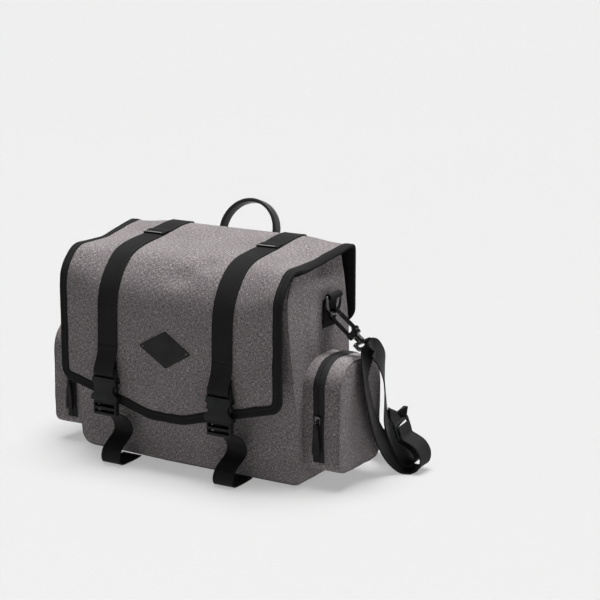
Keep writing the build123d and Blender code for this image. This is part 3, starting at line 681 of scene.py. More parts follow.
def make_flap_straps():
    """The front strap, folded round its buckle, and the rear strap sewn on it."""
    for side, sign in SIDES:
        x_middle = sign * STRAP_X
        build = Builder()
        points, uv = strap_on_flap(x_middle, np.linspace(SPLICE_S - SPLICE_OVERLAP, s_at(LEAVE_Z + 2), 110))
        route = spline([(x_middle, y, z) for y, z in wrap_route()], 60)
        tangent = np.gradient(route, axis=0)
        tangent /= np.linalg.norm(tangent, axis=1)[:, None]
        up = np.cross(X_AXIS, tangent)
        tail = (route[:, None] + X_AXIS * STRAP_SECTION[None, :, 0, None]
                + up[:, None] * STRAP_SECTION[None, :, 1, None])
        tail_uv = uv_grid(loop(STRAP_SECTION)[:, 0], s_at(LEAVE_Z) + lengths(route))
        build.tube(np.concatenate([points, tail]), np.concatenate([uv, tail_uv]))
        strap = build.make("front_webbing_" + side, WEBBING)
        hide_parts("flap_strap_" + side)
        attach(strap, "flap")

        rear = Builder()
        s_values = dense_rows(0, 32, SPLICE_S, 24, 34, 22, start=-88)
        points, uv = strap_on_flap(x_middle, s_values)
        raise_end = smooth(SPLICE_S - 24, SPLICE_S - 13, s_values) * (WEBBING_T + 0.1)
        points[:, :, 2] += raise_end[:, None]
        rear.tube(points, uv)
        strap = rear.make("rear_webbing_" + side, WEBBING)
        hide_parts("rear_strap_" + side)
        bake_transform(strap)

        # box of stitches over the splice, its front row in pale thread
        half = STRAP_W / 2 - 3.0
        height = 2 * WEBBING_T + 0.3
        rows = {
            "pale": [(-half, -1.8), (half, -1.8)],
            "dark": [(half, -3.5), (half, -11.5), (-half, -11.5), (-half, -3.5)],
        }
        for shade, corners in rows.items():
            flat = resample([(x_middle + a, SPLICE_S + b, 0.0) for a, b in corners], 60)
            seam, normals = seam_on(on_flap, flat[:, 0], flat[:, 1], height)
            finish, radius = (PALE_THREAD, 0.55) if shade == "pale" else (DARK_THREAD, 0.3)
            row = stitches(f"strap_stitches_{shade}_{side}", seam, normals, finish, pitch=2.9, length=2.5,
                           radius=radius)
            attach(row, "flap")


def make_patch():
    """Plain leather diamond with softened edges, sewn at its two side corners."""
    low, high = mm_box("diamond_patch")
    corners = [(low[0], 183), (1.5, high[2]), (high[0], 180), (2, low[2])]
    rim = rounded(corners, [2.0] * 4, steps=5)
    centre = rim.mean(axis=0)
    build = Builder()
    rings = []
    for scale, height in ((1.0, 0.1), (1.0, 0.9), (0.985, 1.25), (0.95, 1.35), (0.6, 1.45), (0.25, 1.5)):
        flat = centre + (rim - centre) * scale
        rings.append(on_flap(flat[:, 0], s_at(flat[:, 1]), height))
    build.tube(np.array(rings), np.zeros((len(rings), len(rim) + 1, 2)))
    patch = build.make("leather_patch", PATCH)
    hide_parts("diamond_patch")
    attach(patch, "flap")
    for side, x, z in (("left", low[0] + 7.5, 183.2), ("right", high[0] - 7.5, 180.6)):
        seam = on_flap([x - 1.2, x, x + 1.2], s_at(z), 1.4)
        dot = stitches("patch_stitch_" + side, seam, (0, -1, 0), PALE_THREAD,
                       pitch=2.4, length=1.6, radius=0.42)
        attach(dot, "flap")


# ---------------------------------------------------------------- body
BODY_LEVELS = np.array([
    # height, half width, front y, back y
    (0, 178, -61, 73), (20, 184, -66.0, 75), (60, 185.5, -69.0, 75), (83, 185, -70.5, 75),
    (117, 184.5, -75.5, 75), (145, 184, -80, 75), (186, 183.5, -85, 75), (228, 182.5, -91, 74.6),
    (250, 182, -92.5, 74), (268, 181.5, -90, 73), (285, 181, -81, 72), (297, 180, -70, 71),
    (316, 179, -50, 70)], float)
SIDE_COUNT, ARC_COUNT, LONG_COUNT = 40, 7, 55
BASE_ROUND = 11.0
BOTTOM_T = 4.0                             # the floor of the bag, board and lining together
RIM_TAPE_W = 3.2
RIM_BELOW_FLAP = 7.5                       # from the flap's outer face

# Runs of the right half, from the middle of the back to the middle of the front, with their columns
RUNS = [("back", LONG_COUNT), ("back corner", ARC_COUNT), ("side", SIDE_COUNT), ("front corner", ARC_COUNT),
        ("front", LONG_COUNT)]
COLUMNS = 2 * sum(count for _, count in RUNS)


def body_run(kind, t, half, front, back, front_r, back_r):
    """(x, y) along one run, t from 0 to 1."""
    turn = t * math.pi / 2
    if kind == "back":
        return t * (half - back_r), back
    if kind == "back corner":
        return half - back_r * (1 - np.sin(turn)), back - back_r * (1 - np.cos(turn))
    if kind == "side":
        start = back - back_r
        return half, start + t * (front + front_r - start)
    if kind == "front corner":
        return half - front_r * (1 - np.cos(turn)), front + front_r * (1 - np.sin(turn))
    return (1 - t) * (half - front_r), front


def body_loop(z, inset=0.0):
    """Outline of the body at heights z: array of rows x columns x 3. z may vary along the columns."""
    z = np.asarray(z, float)
    half, front, back = (np.interp(z, BODY_LEVELS[:, 0], BODY_LEVELS[:, k]) for k in (1, 2, 3))
    under = np.clip(BASE_ROUND - z, 0, BASE_ROUND)
    tuck = BASE_ROUND - np.sqrt(np.maximum(BASE_ROUND ** 2 - under ** 2, 0))
    sizes = (half - inset - tuck, front + inset + tuck, back - inset - tuck * 0.4,
             6.0 + 4 * smooth(240, 300, z), 9.0 + 13.0 * smooth(190, 300, z))
    x_parts, y_parts = [], []
    column = 0
    for sign, runs in ((1, RUNS), (-1, RUNS[::-1])):
        for kind, count in runs:
            t = np.linspace(0, 1, count, endpoint=False)
            picked = [size[..., column:column + count] for size in sizes]
            x, y = body_run(kind, t if sign > 0 else 1 - t, *picked)
            x_parts.append(sign * x + 0 * y)
            y_parts.append(y + 0 * x)
            column += count
    x, y = np.concatenate(x_parts, axis=-1), np.concatenate(y_parts, axis=-1)
    return soften(x, y, z + 0 * x)


def soften(x, y, z):
    """Fabric bulges and dents on the plain outline."""
    front_like = smooth(-35, -60, y)
    side_like = smooth(150, 176, np.abs(x)) * (1 - front_like) * smooth(74, 66, y)
    belly = 7.0 * np.cos(np.clip(x / 186, -1, 1) * math.pi / 2) * smooth(0, 60, z)
    belly = belly * (1 - smooth(225, 290, z))
    y = y - front_like * (belly * 0.8 + 0.9 * ripple(x, z, 2.1) * smooth(4, 30, z))
    mid = np.clip((y + 5) / 78, -1, 1)
    swell = 2.5 * np.cos(mid * math.pi / 2) * smooth(0, 60, z) * (1 - smooth(200, 260, z))
    dent = np.where(x > 0, 13.0, 7.0) * np.exp(-((y - 12) / 26) ** 2) * smooth(262, 303, z)
    dimple = 0.8 * ripple(y * 1.4, z, 3.4)
    x = x + np.sign(x) * side_like * (swell - dent + dimple)
    lifted = 2.5 * smooth(-20, -140, x) * smooth(-30, -60, y) * (1 - smooth(0, 30, z))
    return np.stack([x, y, z + lifted], axis=-1)


def flap_height(x, y):
    """Height of the flap's outer face above a place on the rim."""
    side = smooth(112, 172, np.abs(x))
    heights = []
    for curve in (MIDDLE_CURVE, EDGE_CURVE):
        over = curve[curve[:, 1] > 260][::-1]
        heights.append(np.interp(y, over[:, 0], over[:, 1]))
    return heights[0] * (1 - side) + heights[1] * side


def rim_heights():
    """Height of the wall's upper edge under the flap, along the outline."""
    top = body_loop(np.full(COLUMNS, 298.0))
    return flap_height(top[:, 0], np.minimum(top[:, 1], 66)) - RIM_BELOW_FLAP


def wall_uv(along, top, levels):
    """UVs of a wall: the way round it, and the height as a share of its top's."""
    return np.stack(np.broadcast_arrays(along[None, :], loop(top)[None, :] * levels[:, None]), axis=-1)


def make_body():
    """The open bag: walls and floor in one, lined, with a bound rim and raised corner seams."""
    build = Builder()
    rim = rim_heights()
    levels = np.concatenate([BASE_ROUND * (1 - np.cos(np.linspace(0, math.pi / 2, 6, endpoint=False))),
                             np.linspace(BASE_ROUND, 300, 84)]) / 300
    heights = levels[:, None] * rim[None, :]
    outer = body_loop(heights)
    inner = body_loop(np.maximum(heights, BOTTOM_T), FABRIC_T)
    inner = np.where(heights[..., None] <= BOTTOM_T, inner * [1, 1, 0] + [0, 0, BOTTOM_T], inner)
    along = lengths(loop(outer[-1]))
    uv = wall_uv(along, rim, levels)
    build.grid(outer, uv, wrap=True, slot=0)
    build.grid(inner, uv, wrap=True, slot=1)
    build.grid(np.stack([outer[-1], inner[-1]]), uv[-2:], wrap=True, slot=1)
    for edge, height in ((outer[0], 0.0), (inner[0], BOTTOM_T)):
        rings = [edge]
        for scale in (0.94, 0.6, 0.2):
            rings.append(edge * [scale, scale, 0] + [0, 0, height + 0.6 * (1 - scale)])
        rings = np.array(rings)
        build.grid(rings, rings[:, [*range(COLUMNS), 0], :2], wrap=True, slot=1)
        build.cap(rings[-1], slot=1)
    body = build.make("body_shell", HEATHER, LINING)
    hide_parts("body_front_panel", "body_back_panel", "body_bottom_panel", "side_gusset_right",
                "side_gusset_left")
    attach(body, "root")

    # black tape folded over the rim
    tape = Builder()
    w = RIM_TAPE_W
    section = [(w, 0.2), (w, 0.9), (1, 1.0), (-0.6, 0.6), (-1.0, -FABRIC_T / 2), (-0.6, -FABRIC_T - 0.6),
               (1, -FABRIC_T - 1.0), (w, -FABRIC_T - 0.9), (w, -FABRIC_T - 0.2), (0.05, -FABRIC_T - 0.1),
               (0.05, 0.1)]
    points = np.stack([body_loop(rim - down, -out) for down, out in section], axis=1)
    tape.grid(loop(points), uv_grid(np.arange(len(section) + 1) * 2.0, along), wrap=True)
    edge = tape.make("rim_binding", BINDING)
    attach(edge, "root")

    # raised seams down the four corners
    back_right = LONG_COUNT + ARC_COUNT // 2
    front_right = back_right + ARC_COUNT + SIDE_COUNT
    front_left = front_right + ARC_COUNT + 2 * LONG_COUNT
    back_left = front_left + ARC_COUNT + SIDE_COUNT
    corner_columns = (("back_right", back_right), ("front_right", front_right), ("front_left", front_left),
                      ("back_left", back_left))
    ring = circle(1.15)
    for place, column in corner_columns:
        path = resample(outer[3:, column], 90)
        seam = Builder()
        seam.sweep(path, X_AXIS, ring)
        made = seam.make("corner_seam_" + place, HEATHER)
        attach(made, "root")


def make_base():
    """Black reinforcement: a line at the floor, a band across the back, and a wing up each rear corner."""
    band_top, wing_top = 45.0, mm_box("base_reinforcement")[1][2]
    outline = body_loop(np.full(COLUMNS, 60.0))
    x, y = outline[:, 0], outline[:, 1]
    rear = (y > 60) & (np.abs(x) < 177)
    wing_x, wing_w = 173.0, 43.0
    away = np.clip((wing_x - np.abs(x)) / wing_w, 0, 1)
    wing = band_top + (wing_top - band_top) * np.sqrt(np.maximum(1 - away ** 2, 0)) * (away < 1)
    top = np.where(rear, np.where(away < 1, wing, band_top), 3.0)
    levels = np.linspace(0, 1, 26)
    heights = 0.2 + levels[:, None] * (top[None, :] - 0.2)
    outer = body_loop(heights, -1.3)
    inner = body_loop(heights, -0.1)
    uv = wall_uv(lengths(loop(outline)), top, levels)
    build = Builder()
    build.grid(outer, uv, wrap=True)
    build.grid(inner, uv, wrap=True)
    for k in (0, -1):
        build.grid(np.stack([outer[k], inner[k]]), uv[:2], wrap=True)
    base = build.make("base_cover", COATED)
    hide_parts("base_reinforcement")
    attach(base, "root")


# ---------------------------------------------------------------- side pockets
POCKET_Y0, POCKET_Y1 = COVER_LOW[1], COVER_HIGH[1]
POCKET_Z0, POCKET_Z1 = COVER_LOW[2], COVER_HIGH[2]
POCKET_X0, POCKET_SPLIT, POCKET_X1 = 180.0, 208.5, COVER_HIGH[0]
POCKET_ROLL = 5.0                          # radius of the cover's outer edge
ZIP_END_Z = 40.0
ZIP_BAND_W, ZIP_ROWS = 8.45, 120


def pocket_loop(x, grow=0.0):
    """Outline of the pocket at distance x from the middle plane: a rounded box with slightly slack walls."""
    y0, y1, z0, z1 = POCKET_Y0 - grow, POCKET_Y1 + grow, POCKET_Z0 - grow, POCKET_Z1 + grow
    r0, r1 = 15.0 + grow, 40.0 + grow
    outline = rounded([(y0, z0), (y0, z1), (y1, z1), (y1, z0)], [r0, r1, r1, r0], steps=14)
    even = resample(flat_path(loop(outline)), 141)[:-1, :2]
    y, z = even[:, 0], even[:, 1]
    mid_y, mid_z = (y0 + y1) / 2, (z0 + z1) / 2
    slack = 1.2 * ripple(y * 2 + x, z * 1.6, 5.2)
    aim = np.stack([y - mid_y, z - mid_z], axis=1)
    aim /= np.linalg.norm(aim, axis=1)[:, None]
    even = even + aim * slack[:, None]
    return np.column_stack([np.full(len(even), x), even])


def pocket_uv(rings):
    """UVs for rings of a pocket: the way round, and outwards."""
    return uv_grid(lengths(loop(rings[0])), lengths(rings[:, 20]))


def flip(points, sign):
    """The points on the side of the sign."""
    return points * np.array([sign, 1, 1])


def make_zip_band(name, node, body, away, sign):
    """A coated zip tape round the pocket beside the split, its toothed edge raised."""
    inside = POCKET_SPLIT + away * 0.15
    shape = ((0, 0.1), (0.02, 0.9), (0.1, 1.25), (0.5, 1.3), (0.8, 1.5), (0.94, 1.7), (1, 1.2), (1, 0.1))
    rows = []
    for share, lift in shape:
        ring = pocket_loop(inside + away * ZIP_BAND_W * (1 - share), lift)
        keep = ring[:, 2] > ZIP_END_Z
        start = int(np.argmax(~keep))
        run = np.roll(ring, -start, axis=0)[np.roll(keep, -start)]
        run[[0, -1], 2] = ZIP_END_Z
        rows.append(resample(run, ZIP_ROWS))
    rows = flip(np.array(rows), sign).transpose(1, 0, 2)
    build = Builder()
    build.tube(rows, uv_grid(np.arange(len(shape) + 1) * 1.5, np.arange(ZIP_ROWS) * 3.0))
    tape = build.make(name, COATED)
    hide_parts(node)
    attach(tape, body)


def make_pockets():
    """A tray on the gusset and a cover over it, with the zip between them."""
    for side, sign in SIDES:
        # tray: from the gusset to the zip
        rings = np.array([pocket_loop(x) for x in (POCKET_X0, 186, 192, 198, 203, POCKET_SPLIT - 0.4)])
        inner = np.array([pocket_loop(x, -FABRIC_T) for x in (POCKET_SPLIT - 0.4, 198, 190, POCKET_X0)])
        both = flip(np.concatenate([rings, inner]), sign)
        build = Builder()
        build.grid(both, pocket_uv(both), wrap=True)
        build.grid(np.stack([both[0], both[-1]]), pocket_uv(both)[:2], wrap=True)
        tray = build.make("pocket_base_" + side, HEATHER)
        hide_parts("pocket_tray_" + side)
        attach(tray, "root")

        # cover: rounded over its outer edge, the face crowned
        roll = POCKET_ROLL
        outer = [pocket_loop(x) for x in (POCKET_SPLIT + 0.4, 214, 220, 226, 231)]
        for angle in np.linspace(0, math.pi / 2, 6):
            inset = roll * (1 - math.cos(angle))
            outer.append(pocket_loop(POCKET_X1 - roll + roll * math.sin(angle), -inset))
        rim = outer[-1]
        centre = np.array([POCKET_X1, (POCKET_Y0 + POCKET_Y1) / 2, (POCKET_Z0 + POCKET_Z1) / 2])
        for scale in (0.93, 0.82, 0.68, 0.52, 0.35, 0.18, 0.06):
            ring = centre + (rim - centre) * scale
            crown = 2.6 * (1 - scale ** 2)
            uneven = 0.9 * ripple(ring[:, 1] * 1.5, ring[:, 2] * 1.3, 4.4 + sign)
            ring[:, 0] = POCKET_X1 + crown + uneven * (1 - scale)
            outer.append(ring)
        outer = np.array(outer)
        inner = [pocket_loop(x, -FABRIC_T) for x in (POCKET_SPLIT + 0.4, 222, POCKET_X1 - roll)]
        for scale in (0.9, 0.5, 0.06):
            ring = centre + (inner[-1] - centre) * scale
            ring[:, 0] = POCKET_X1 - FABRIC_T + 2.4 * (1 - scale ** 2)
            inner.append(ring)
        inner = np.array(inner)
        build = Builder()
        build.grid(flip(outer, sign), pocket_uv(outer), wrap=True, slot=0)
        build.cap(flip(outer[-1], sign), 0)
        build.grid(flip(inner, sign), pocket_uv(inner), wrap=True, slot=1)
        build.cap(flip(inner[-1], sign), 1)
        build.grid(flip(np.stack([outer[0], inner[0]]), sign), pocket_uv(outer)[:2], wrap=True, slot=1)
        cover = build.make("pocket_front_" + side, HEATHER, LINING)
        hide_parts("pocket_cover_" + side)
        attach(cover, "pocket_cover_" + side)

        # piped edge round the outer face
        edge = pocket_loop(POCKET_X1 - roll * 0.3, -roll * 0.3 + 0.4)
        edge[:, 0] = POCKET_X1 - roll * 0.3 + 0.4
        edge = flip(loop(edge), sign)
        seam = Builder()
        seam.sweep(edge, X_AXIS, circle(0.9))
        made = seam.make("pocket_edge_seam_" + side, HEATHER)
        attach(made, "pocket_cover_" + side)

        make_zip_band("zip_band_inner_" + side, "zip_tape_" + side, "root", -1, sign)
        make_zip_band("zip_band_outer_" + side, "cover_zip_tape_" + side, "pocket_cover_" + side, 1, sign)


# ---------------------------------------------------------------- rings, straps and handle
def make_ring_tabs():
    """A patch of webbing on the gusset, its upper end rolled round the ring's bar."""
    bar_x, bar_z = (RING_LOW[0] + RING_HIGH[0]) / 2, RING_HIGH[2] - 2.25
    y = (RING_LOW[1] + RING_HIGH[1]) / 2
    wall, foot = 184.2, TAB_LOW[2] + 1
    route = [(wall + 0.6, foot), (wall + 0.8, foot + 14), (wall + 0.9, foot + 32), (wall + 1.4, bar_z - 6)]
    for angle in range(200, -121, -40):
        a = math.radians(angle)
        route.append((bar_x + 4.0 * math.cos(a), bar_z + 4.0 * math.sin(a)))
    route += [(wall + 5.4, bar_z - 7), (wall + 3.6, bar_z - 14), (wall + 3.1, bar_z - 24),
              (wall + 2.9, foot + 8)]
    for side, sign in SIDES:
        points = [(sign * x, y, z) for x, z in route]
        tab = ribbon("ring_webbing_" + side, points, [(0, 1, 0)] * len(points), 31.5, BINDING,
                     110, 1.9)
        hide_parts("ring_tab_" + side)
        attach(tab, "root")
        half, bottom, top = 12.5, foot + 7, foot + 21
        corners = [(y - half, bottom), (y + half, bottom), (y + half, top), (y - half, top)]
        box = resample([(sign * (wall + 4.1), *corner) for corner in loop(corners)], 80)
        row = stitches("ring_stitches_" + side, box, X_AXIS * sign, DARK_THREAD)
        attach(row, "root")


def make_lower_straps():
    """Slack webbing from the buckle down to the floor and back to the bottom seam."""
    y = BUCKLE_Y
    route = [(y + 1.6, 92.5), (y + 4.4, 90.6), (y + 5.4, 86), (y + 6.6, 80), (y + 15, 74.5),
             (y + 25.5, 68), (y + 34, 58), (y + 37.6, 47.5), (y + 33, 39), (y + 20, 31), (y + 11, 23),
             (y + 7.8, 13), (y + 10, 5.4), (y + 17, 2.3), (y + 30, 2.0), (y + 46, 2.2), (y + 59, 3.4)]
    for side, sign in SIDES:
        lean = 1.0 + 0.4 * sign
        points = [(sign * STRAP_X + lean * 2.0 * math.sin((98 - z) * 0.045), a, z) for a, z in route]
        sides = [(1, 0.03 * lean * math.sin(z * 0.06), 0) for _, z in route]
        strap = ribbon("lower_webbing_" + side, points, sides, 32.0, WEBBING, 130)
        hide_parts("lower_strap_" + side)
        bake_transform(strap)


def make_handle():
    """Satin band: flat against the back at its feet, turned on edge over the arch."""
    lean = math.radians(19)
    foot = np.array([0, 79.5, 249.5])
    spread, leg, radius = 45.0, 64.0, 45.0
    flat = [(-spread, 0.8), (-spread, 20), (-spread, 40)]
    for angle in range(180, -1, -15):
        a = math.radians(angle)
        flat.append((radius * math.cos(a), leg + radius * math.sin(a)))
    flat += [(spread, 40), (spread, 20), (spread, 0.8)]
    path = spline([(x, 0.0, z) for x, z in flat], 170)
    turn = smooth(18, 60, path[:, 2]) * math.pi / 2
    turn = np.where(path[:, 0] < 0, turn, math.pi - turn)
    sides = np.stack([np.cos(turn), np.sin(turn), np.zeros(len(path))], axis=1)
    spin = np.array([[1, 0, 0], [0, math.cos(lean), math.sin(lean)], [0, -math.sin(lean), math.cos(lean)]])
    build = Builder()
    build.sweep(path @ spin.T + foot, sides @ spin.T, band_section(16.5, 5.4, 1.9))
    handle = build.make("carry_handle", BAND)
    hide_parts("handle")
    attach(handle, "handle")


def make_shoulder_strap():
    """Webbing from the right eye down to the slider, round behind on the floor, and up to the left eye."""
    top = (EYE_HIGH[0] - 1.6, (EYE_LOW[1] + EYE_HIGH[1]) / 2, EYE_LOW[2] + 3.0)
    y_side = (0, 1, 0)
    # run A falls in front of the pocket's face, curls on the floor and passes over the slider's middle bar;
    # run B starts on that bar, curls inside run A and arcs up to the eye
    centre = np.array([263.0, 81.0, 62.0])
    along, out = np.array([-0.28, -0.10, 0.95]), np.array([0.96, 0.0, 0.28])

    def at_slider(reach, lift):
        return tuple(centre + along * reach + out * lift)

    level = (0, 1, 0.1)
    run_b = [(at_slider(0, -0.6), level), (at_slider(-3, -3.6), level), (at_slider(-14, -3.8), level),
             ((273, 86, 40), level), ((280.5, 87.5, 35), level), ((286, 89, 26), level),
             ((284, 88.5, 16.5), level), ((275.5, 87, 13), level), ((266, 83, 20), (-0.05, 1, 0.2)),
             ((257, 75, 38), (-0.2, 0.95, 0.3)), ((251.5, 65, 60), (-0.3, 0.94, 0.25)),
             ((250, 57, 80), (-0.35, 0.92, 0.15)), ((251, 52, 107), (-0.45, 0.88, 0.1)),
             ((251.5, 49, 130), (-0.5, 0.86, 0.1)), ((252, 45, 150), (-0.4, 0.9, 0.1)),
             ((252.5, 37, 170), (-0.15, 1, 0)), ((251, 26, 183), y_side), ((249.5, 16, 188), y_side)]
    run_a = [((top[0] + 0.6, top[1] + 1, top[2] - 1.5), y_side), ((246.5, 8, 180), y_side),
             ((248.5, 1, 166), (-0.2, 1, 0.1)), ((251, -4, 150), (-0.33, 0.95, 0.1)),
             ((252.5, -1, 130), (-0.36, 0.93, 0.2)), ((253, 13, 94), (-0.34, 0.9, 0.35)),
             ((253.5, 34, 60), (-0.2, 0.9, 0.4)), ((258, 57, 31), (0, 0.95, 0.35)),
             ((266, 74, 12), (0, 1, 0.25)), ((276, 82, 5.0), level), ((286, 86, 5.5), level),
             ((294, 88.5, 13), level), ((295, 89, 26), level), ((289, 88, 38), level),
             ((280, 85, 45.5), level), (at_slider(-12, 3.8), level), (at_slider(-3, 3.6), level),
             (at_slider(5, 3.4), level)]
    points, sides = zip(*(run_b + run_a))
    strap = ribbon("shoulder_webbing_right", points, sides, 32.5, WEBBING, 260)
    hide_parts("shoulder_strap")
    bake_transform(strap)

    left = (-top[0], top[1], top[2] - 1.0)
    points = [at_slider(6, 0.4), at_slider(15, -3.6), (252, 86, 82), (243, 92, 64), (233, 100, 44),
              (216, 110, 24), (194, 119, 9), (165, 126, 2.6), (120, 130, 1.5), (50, 131, 1.3),
              (-20, 127, 1.3), (-90, 128, 1.3), (-150, 128, 2.0), (-192, 121, 7), (-218, 108, 18),
              (-232, 92, 36), (-240, 72, 74), (-245.5, 44, 124), (-247, 24, 160), (-247.4, 13, 178), left,
              (-250, 13, 185), (-252.5, 20, 176), (-251.5, 30, 160), (-250, 36, 148)]
    sides = [level, level, (0.1, 1, 0.2), (0.3, 0.9, 0.3), (0.4, 0.9, 0.3), (0.4, 0.9, 0.3), (0.2, 1, 0.15),
             *[y_side] * 5, (0, 1, 0.05), (-0.1, 1, 0.15), (-0.2, 1, 0.35), (-0.1, 1, 0.4), (0, 1, 0.3),
             (0, 1, 0.12), *[y_side] * 7]
    strap = ribbon("shoulder_webbing_long", points, sides, 32.5, WEBBING, 320)
    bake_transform(strap)


# ---------------------------------------------------------------- buckles and zip pulls
def plate(outline, y0, y1):
    """A closed plate from an (x, z) outline, between two depths."""
    build = Builder()
    rings = np.array([[(x, y, z) for x, z in outline] for y in (y0, y1)], float)
    build.tube(rings, np.zeros((2, len(outline) + 1, 2)))
    return build.make("plate")


def applied(made, kind, **settings):
    """The object with one modifier turned into mesh."""
    modifier = made.modifiers.new(kind.lower(), kind)
    for key, value in settings.items():
        setattr(modifier, key, value)
    graph = bpy.context.evaluated_depsgraph_get()
    mesh = bpy.data.meshes.new_from_object(made.evaluated_get(graph))
    made.modifiers.clear()
    made.data = mesh
    return made


def joined(parts):
    """One solid from several overlapping ones."""
    whole = parts[0]
    for part in parts[1:]:
        applied(whole, "BOOLEAN", object=part, operation="UNION", solver="EXACT")
        bpy.data.objects.remove(part)
    return whole


def finished(made, name, finish, width=0.6, segments=3):
    """Round the edges, smooth the shading and give the piece its material."""
    applied(made, "BEVEL", width=width * MM, segments=segments, limit_method="ANGLE",
            angle_limit=math.radians(35))
    made.name = made.data.name = name
    made.data.materials.clear()
    made.data.materials.append(finish)
    made.data.shade_smooth()
    made.data.set_sharp_from_angle(angle=math.radians(40))
    return made


def box_outline(x0, x1, z0, z1):
    return [(x0, z0), (x1, z0), (x1, z1), (x0, z1)]


def mirror_outline(half):
    return half + [(-x, z) for x, z in reversed(half)]


def make_female_buckles():
    """Two plates with round finger cut-outs, open between for the prongs; the strap's bar stands above."""
    y0, y1 = FEMALE_LOW[1], FEMALE_HIGH[1]
    bottom, shoulder, top = FEMALE_LOW[2], 131.5, 143.5
    half = [(22.0, bottom), (22.0, bottom + 6.5)]
    for angle in range(246, 113, -12):
        a = math.radians(angle)
        half.append((24.8 + 9.6 * math.cos(a), bottom + 17.0 + 9.6 * math.sin(a)))
    half += [(19.6, shoulder - 5), (19.2, shoulder)]
    face, bridge = mirror_outline(half), mirror_outline([(19.2, shoulder - 5), (19.2, shoulder)])
    shapes = [(face, y0, y0 + 2.5), (face, y1 - 2.5, y1), (bridge, y0 + 1, y1 - 1)]
    for edge in (-1, 1):
        wall, post = sorted((edge * 20.6, edge * 22.0)), sorted((edge * 16.9, edge * 19.0))
        shapes.append((box_outline(*wall, bottom, bottom + 6.5), y0 + 1, y1 - 1))
        shapes.append((box_outline(*post, shoulder - 3, top), y0 + 3.0, y1 - 3.0))
    shapes.append((box_outline(-18.0, 18.0, top - 6.0, top), y0 + 3.4, y1 - 3.4))
    shapes.append((box_outline(-13, 13, bottom + 9, bottom + 10.2), y0, y0 + 1))
    for side, sign in SIDES:
        parts = []
        for outline, near, far in shapes:
            parts.append(plate([(a + sign * STRAP_X, b) for a, b in outline], near, far))
        buckle = finished(joined(parts), "buckle_socket_" + side, BUCKLE_PLASTIC)
        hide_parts("buckle_female_" + side)
        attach(buckle, "flap")


def make_zip_pulls():
    """Rubber pull, wider at its free end, with a cord loop moulded into its neck."""
    for side, _ in SIDES:
        low, high = mm_box("zip_pull_" + side)
        x, y, top = (low[0] + high[0]) / 2, (low[1] + high[1]) / 2, high[2]
        half = [(5.6, low[2]), (6.0, low[2] + 3), (3.9, low[2] + 33), (2.2, low[2] + 38), (1.6, top - 5.4)]
        grip = plate([(a + x, b) for a, b in mirror_outline(half)], y - 1.5, y + 1.5)
        window = [(a + x, b) for a, b in mirror_outline([(2.6, low[2] + 5), (1.7, low[2] + 26)])]
        groove = plate(window, y - 2.5, y - 0.7)
        applied(grip, "BOOLEAN", object=groove, operation="DIFFERENCE", solver="EXACT")
        bpy.data.objects.remove(groove)
        angles = np.linspace(0, 2 * math.pi, 25)
        ring = [(x, y + 2.6 * math.cos(a), top - 2.6 + 2.6 * math.sin(a)) for a in angles]
        build = Builder()
        build.sweep(np.array(ring), X_AXIS, circle(0.8, 10))
        eye = build.make("zip_pull_eye_" + side, BLACK_NICKEL)
        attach(eye, "zip_pull_" + side)
        pull = finished(grip, "zip_grip_" + side, BUCKLE_PLASTIC, 0.5, 2)
        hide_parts("zip_pull_" + side)
        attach(pull, "zip_pull_" + side)


# ---------------------------------------------------------------- CAD nodes that keep their shape
def finish_cad_nodes():
    """Materials by the start of the node's name; screws and nuts are steel, the rest is rail plastic."""
    finishes = (
        (BUCKLE_PLASTIC, ("buckle_", "strap_slider", "zip_pull")),
        (BAND, ("handle_anchors",)),
        (BOARD, ("back_stiffener", "base_stiffener")),
        (BLACK_NICKEL, ("d_ring", "snap_hook", "snap_gate", "swivel_eye", "zip_slider")),
    )
    for name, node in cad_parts.items():
        finish = next((material for material, starts in finishes if name.startswith(starts)), RAIL_PLASTIC)
        if "screw" in name or "nut" in name:
            finish = STEEL
        for slot in node.material_slots:
            slot.material = finish


# ---------------------------------------------------------------- floor, light and camera
def make_stage():
    """A plain pale floor, wide enough to reach the horizon."""
    build = Builder()
    reach = 150000.0
    spread = np.array([[(x, y, 0) for x in (-reach, reach)] for y in (-reach, reach)])
    build.grid(spread, spread[:, :, :2])
    paint = Paint("pale_floor", 0.9, 0.1)
    tone = paint.noise((0.4, 0.4, 0.4), "Object", detail=1)
    paint.set(Base_Color=paint.ramp(tone, (0.2, grey(0.5, (1, 1, 1))), (0.8, grey(0.504, (1, 1, 1)))))
    floor = build.make("floor", paint.material)
    return floor


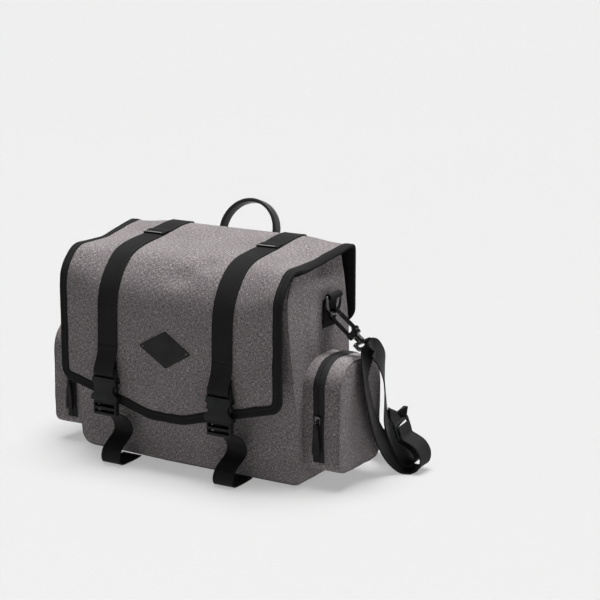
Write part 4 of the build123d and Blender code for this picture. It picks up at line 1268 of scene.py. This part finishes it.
def make_light(floor):
    """A pale horizon under a dark sky. One sun gives the floor its shadow and one fills it.

    The bag has its own, from above and a little behind, and a weak one from the right.
    """
    world = bpy.data.worlds.new("studio")
    world.use_nodes = True
    tree = world.node_tree
    place = tree.nodes.new("ShaderNodeTexCoord")
    split = tree.nodes.new("ShaderNodeSeparateXYZ")
    ramp = tree.nodes.new("ShaderNodeValToRGB")
    tree.links.new(place.outputs["Generated"], split.inputs[0])
    tree.links.new(split.outputs[2], ramp.inputs[0])
    tree.links.new(ramp.outputs[0], tree.nodes["Background"].inputs[0])
    horizon, above = ramp.color_ramp.elements
    horizon.position, horizon.color = 0.10, (0.87, 0.87, 0.87, 1)
    above.position, above.color = 0.22, (0.07, 0.07, 0.07, 1)
    bpy.context.scene.world = world
    for name, direction, strength, angle, state, shadow in (
        ("floor_light", (0.03, 0.0, 1.0), 2.35, 40, "INCLUDE", True),
        ("floor_fill", (0.0, 0.0, 1.0), 2.85, 40, "INCLUDE", False),
        ("bag_light", (0.07, 0.25, 0.96), 7.5, 32, "EXCLUDE", True),
        ("fill_right", (0.97, -0.1, 0.25), 0.15, 60, "EXCLUDE", True),
    ):
        data = bpy.data.lights.new(name, "SUN")
        data.energy = strength
        data.angle = math.radians(angle)
        data.use_shadow = shadow
        lamp = bpy.data.objects.new(name, data)
        lamp.rotation_mode = "QUATERNION"
        lamp.rotation_quaternion = Vector(direction).to_track_quat("Z", "Y")
        bpy.context.scene.collection.objects.link(lamp)
        lit = bpy.data.collections.new("lit_by_" + name)
        lit.objects.link(floor)
        lit.collection_objects[0].light_linking.link_state = state
        lamp.light_linking.receiver_collection = lit


def make_camera():
    """A long lens, in front and to the right of the bag, a little above it."""
    data = bpy.data.cameras.new("camera")
    data.lens = 108
    data.sensor_width = 36
    camera = bpy.data.objects.new("camera", data)
    camera.location = (1.3823, -2.0417, 0.8013)
    camera.rotation_euler = (math.radians(90 - 13.1), 0, math.radians(31.2))
    bpy.context.scene.collection.objects.link(camera)
    bpy.context.scene.camera = camera
    bpy.context.scene.view_settings.view_transform = "Standard"


finish_cad_nodes()
make_camera()
make_light(make_stage())
make_body()
make_base()
make_flap()
make_binding()
make_flap_straps()
make_patch()
make_pockets()
make_female_buckles()
make_zip_pulls()
make_ring_tabs()
make_lower_straps()
make_handle()
make_shoulder_strap()
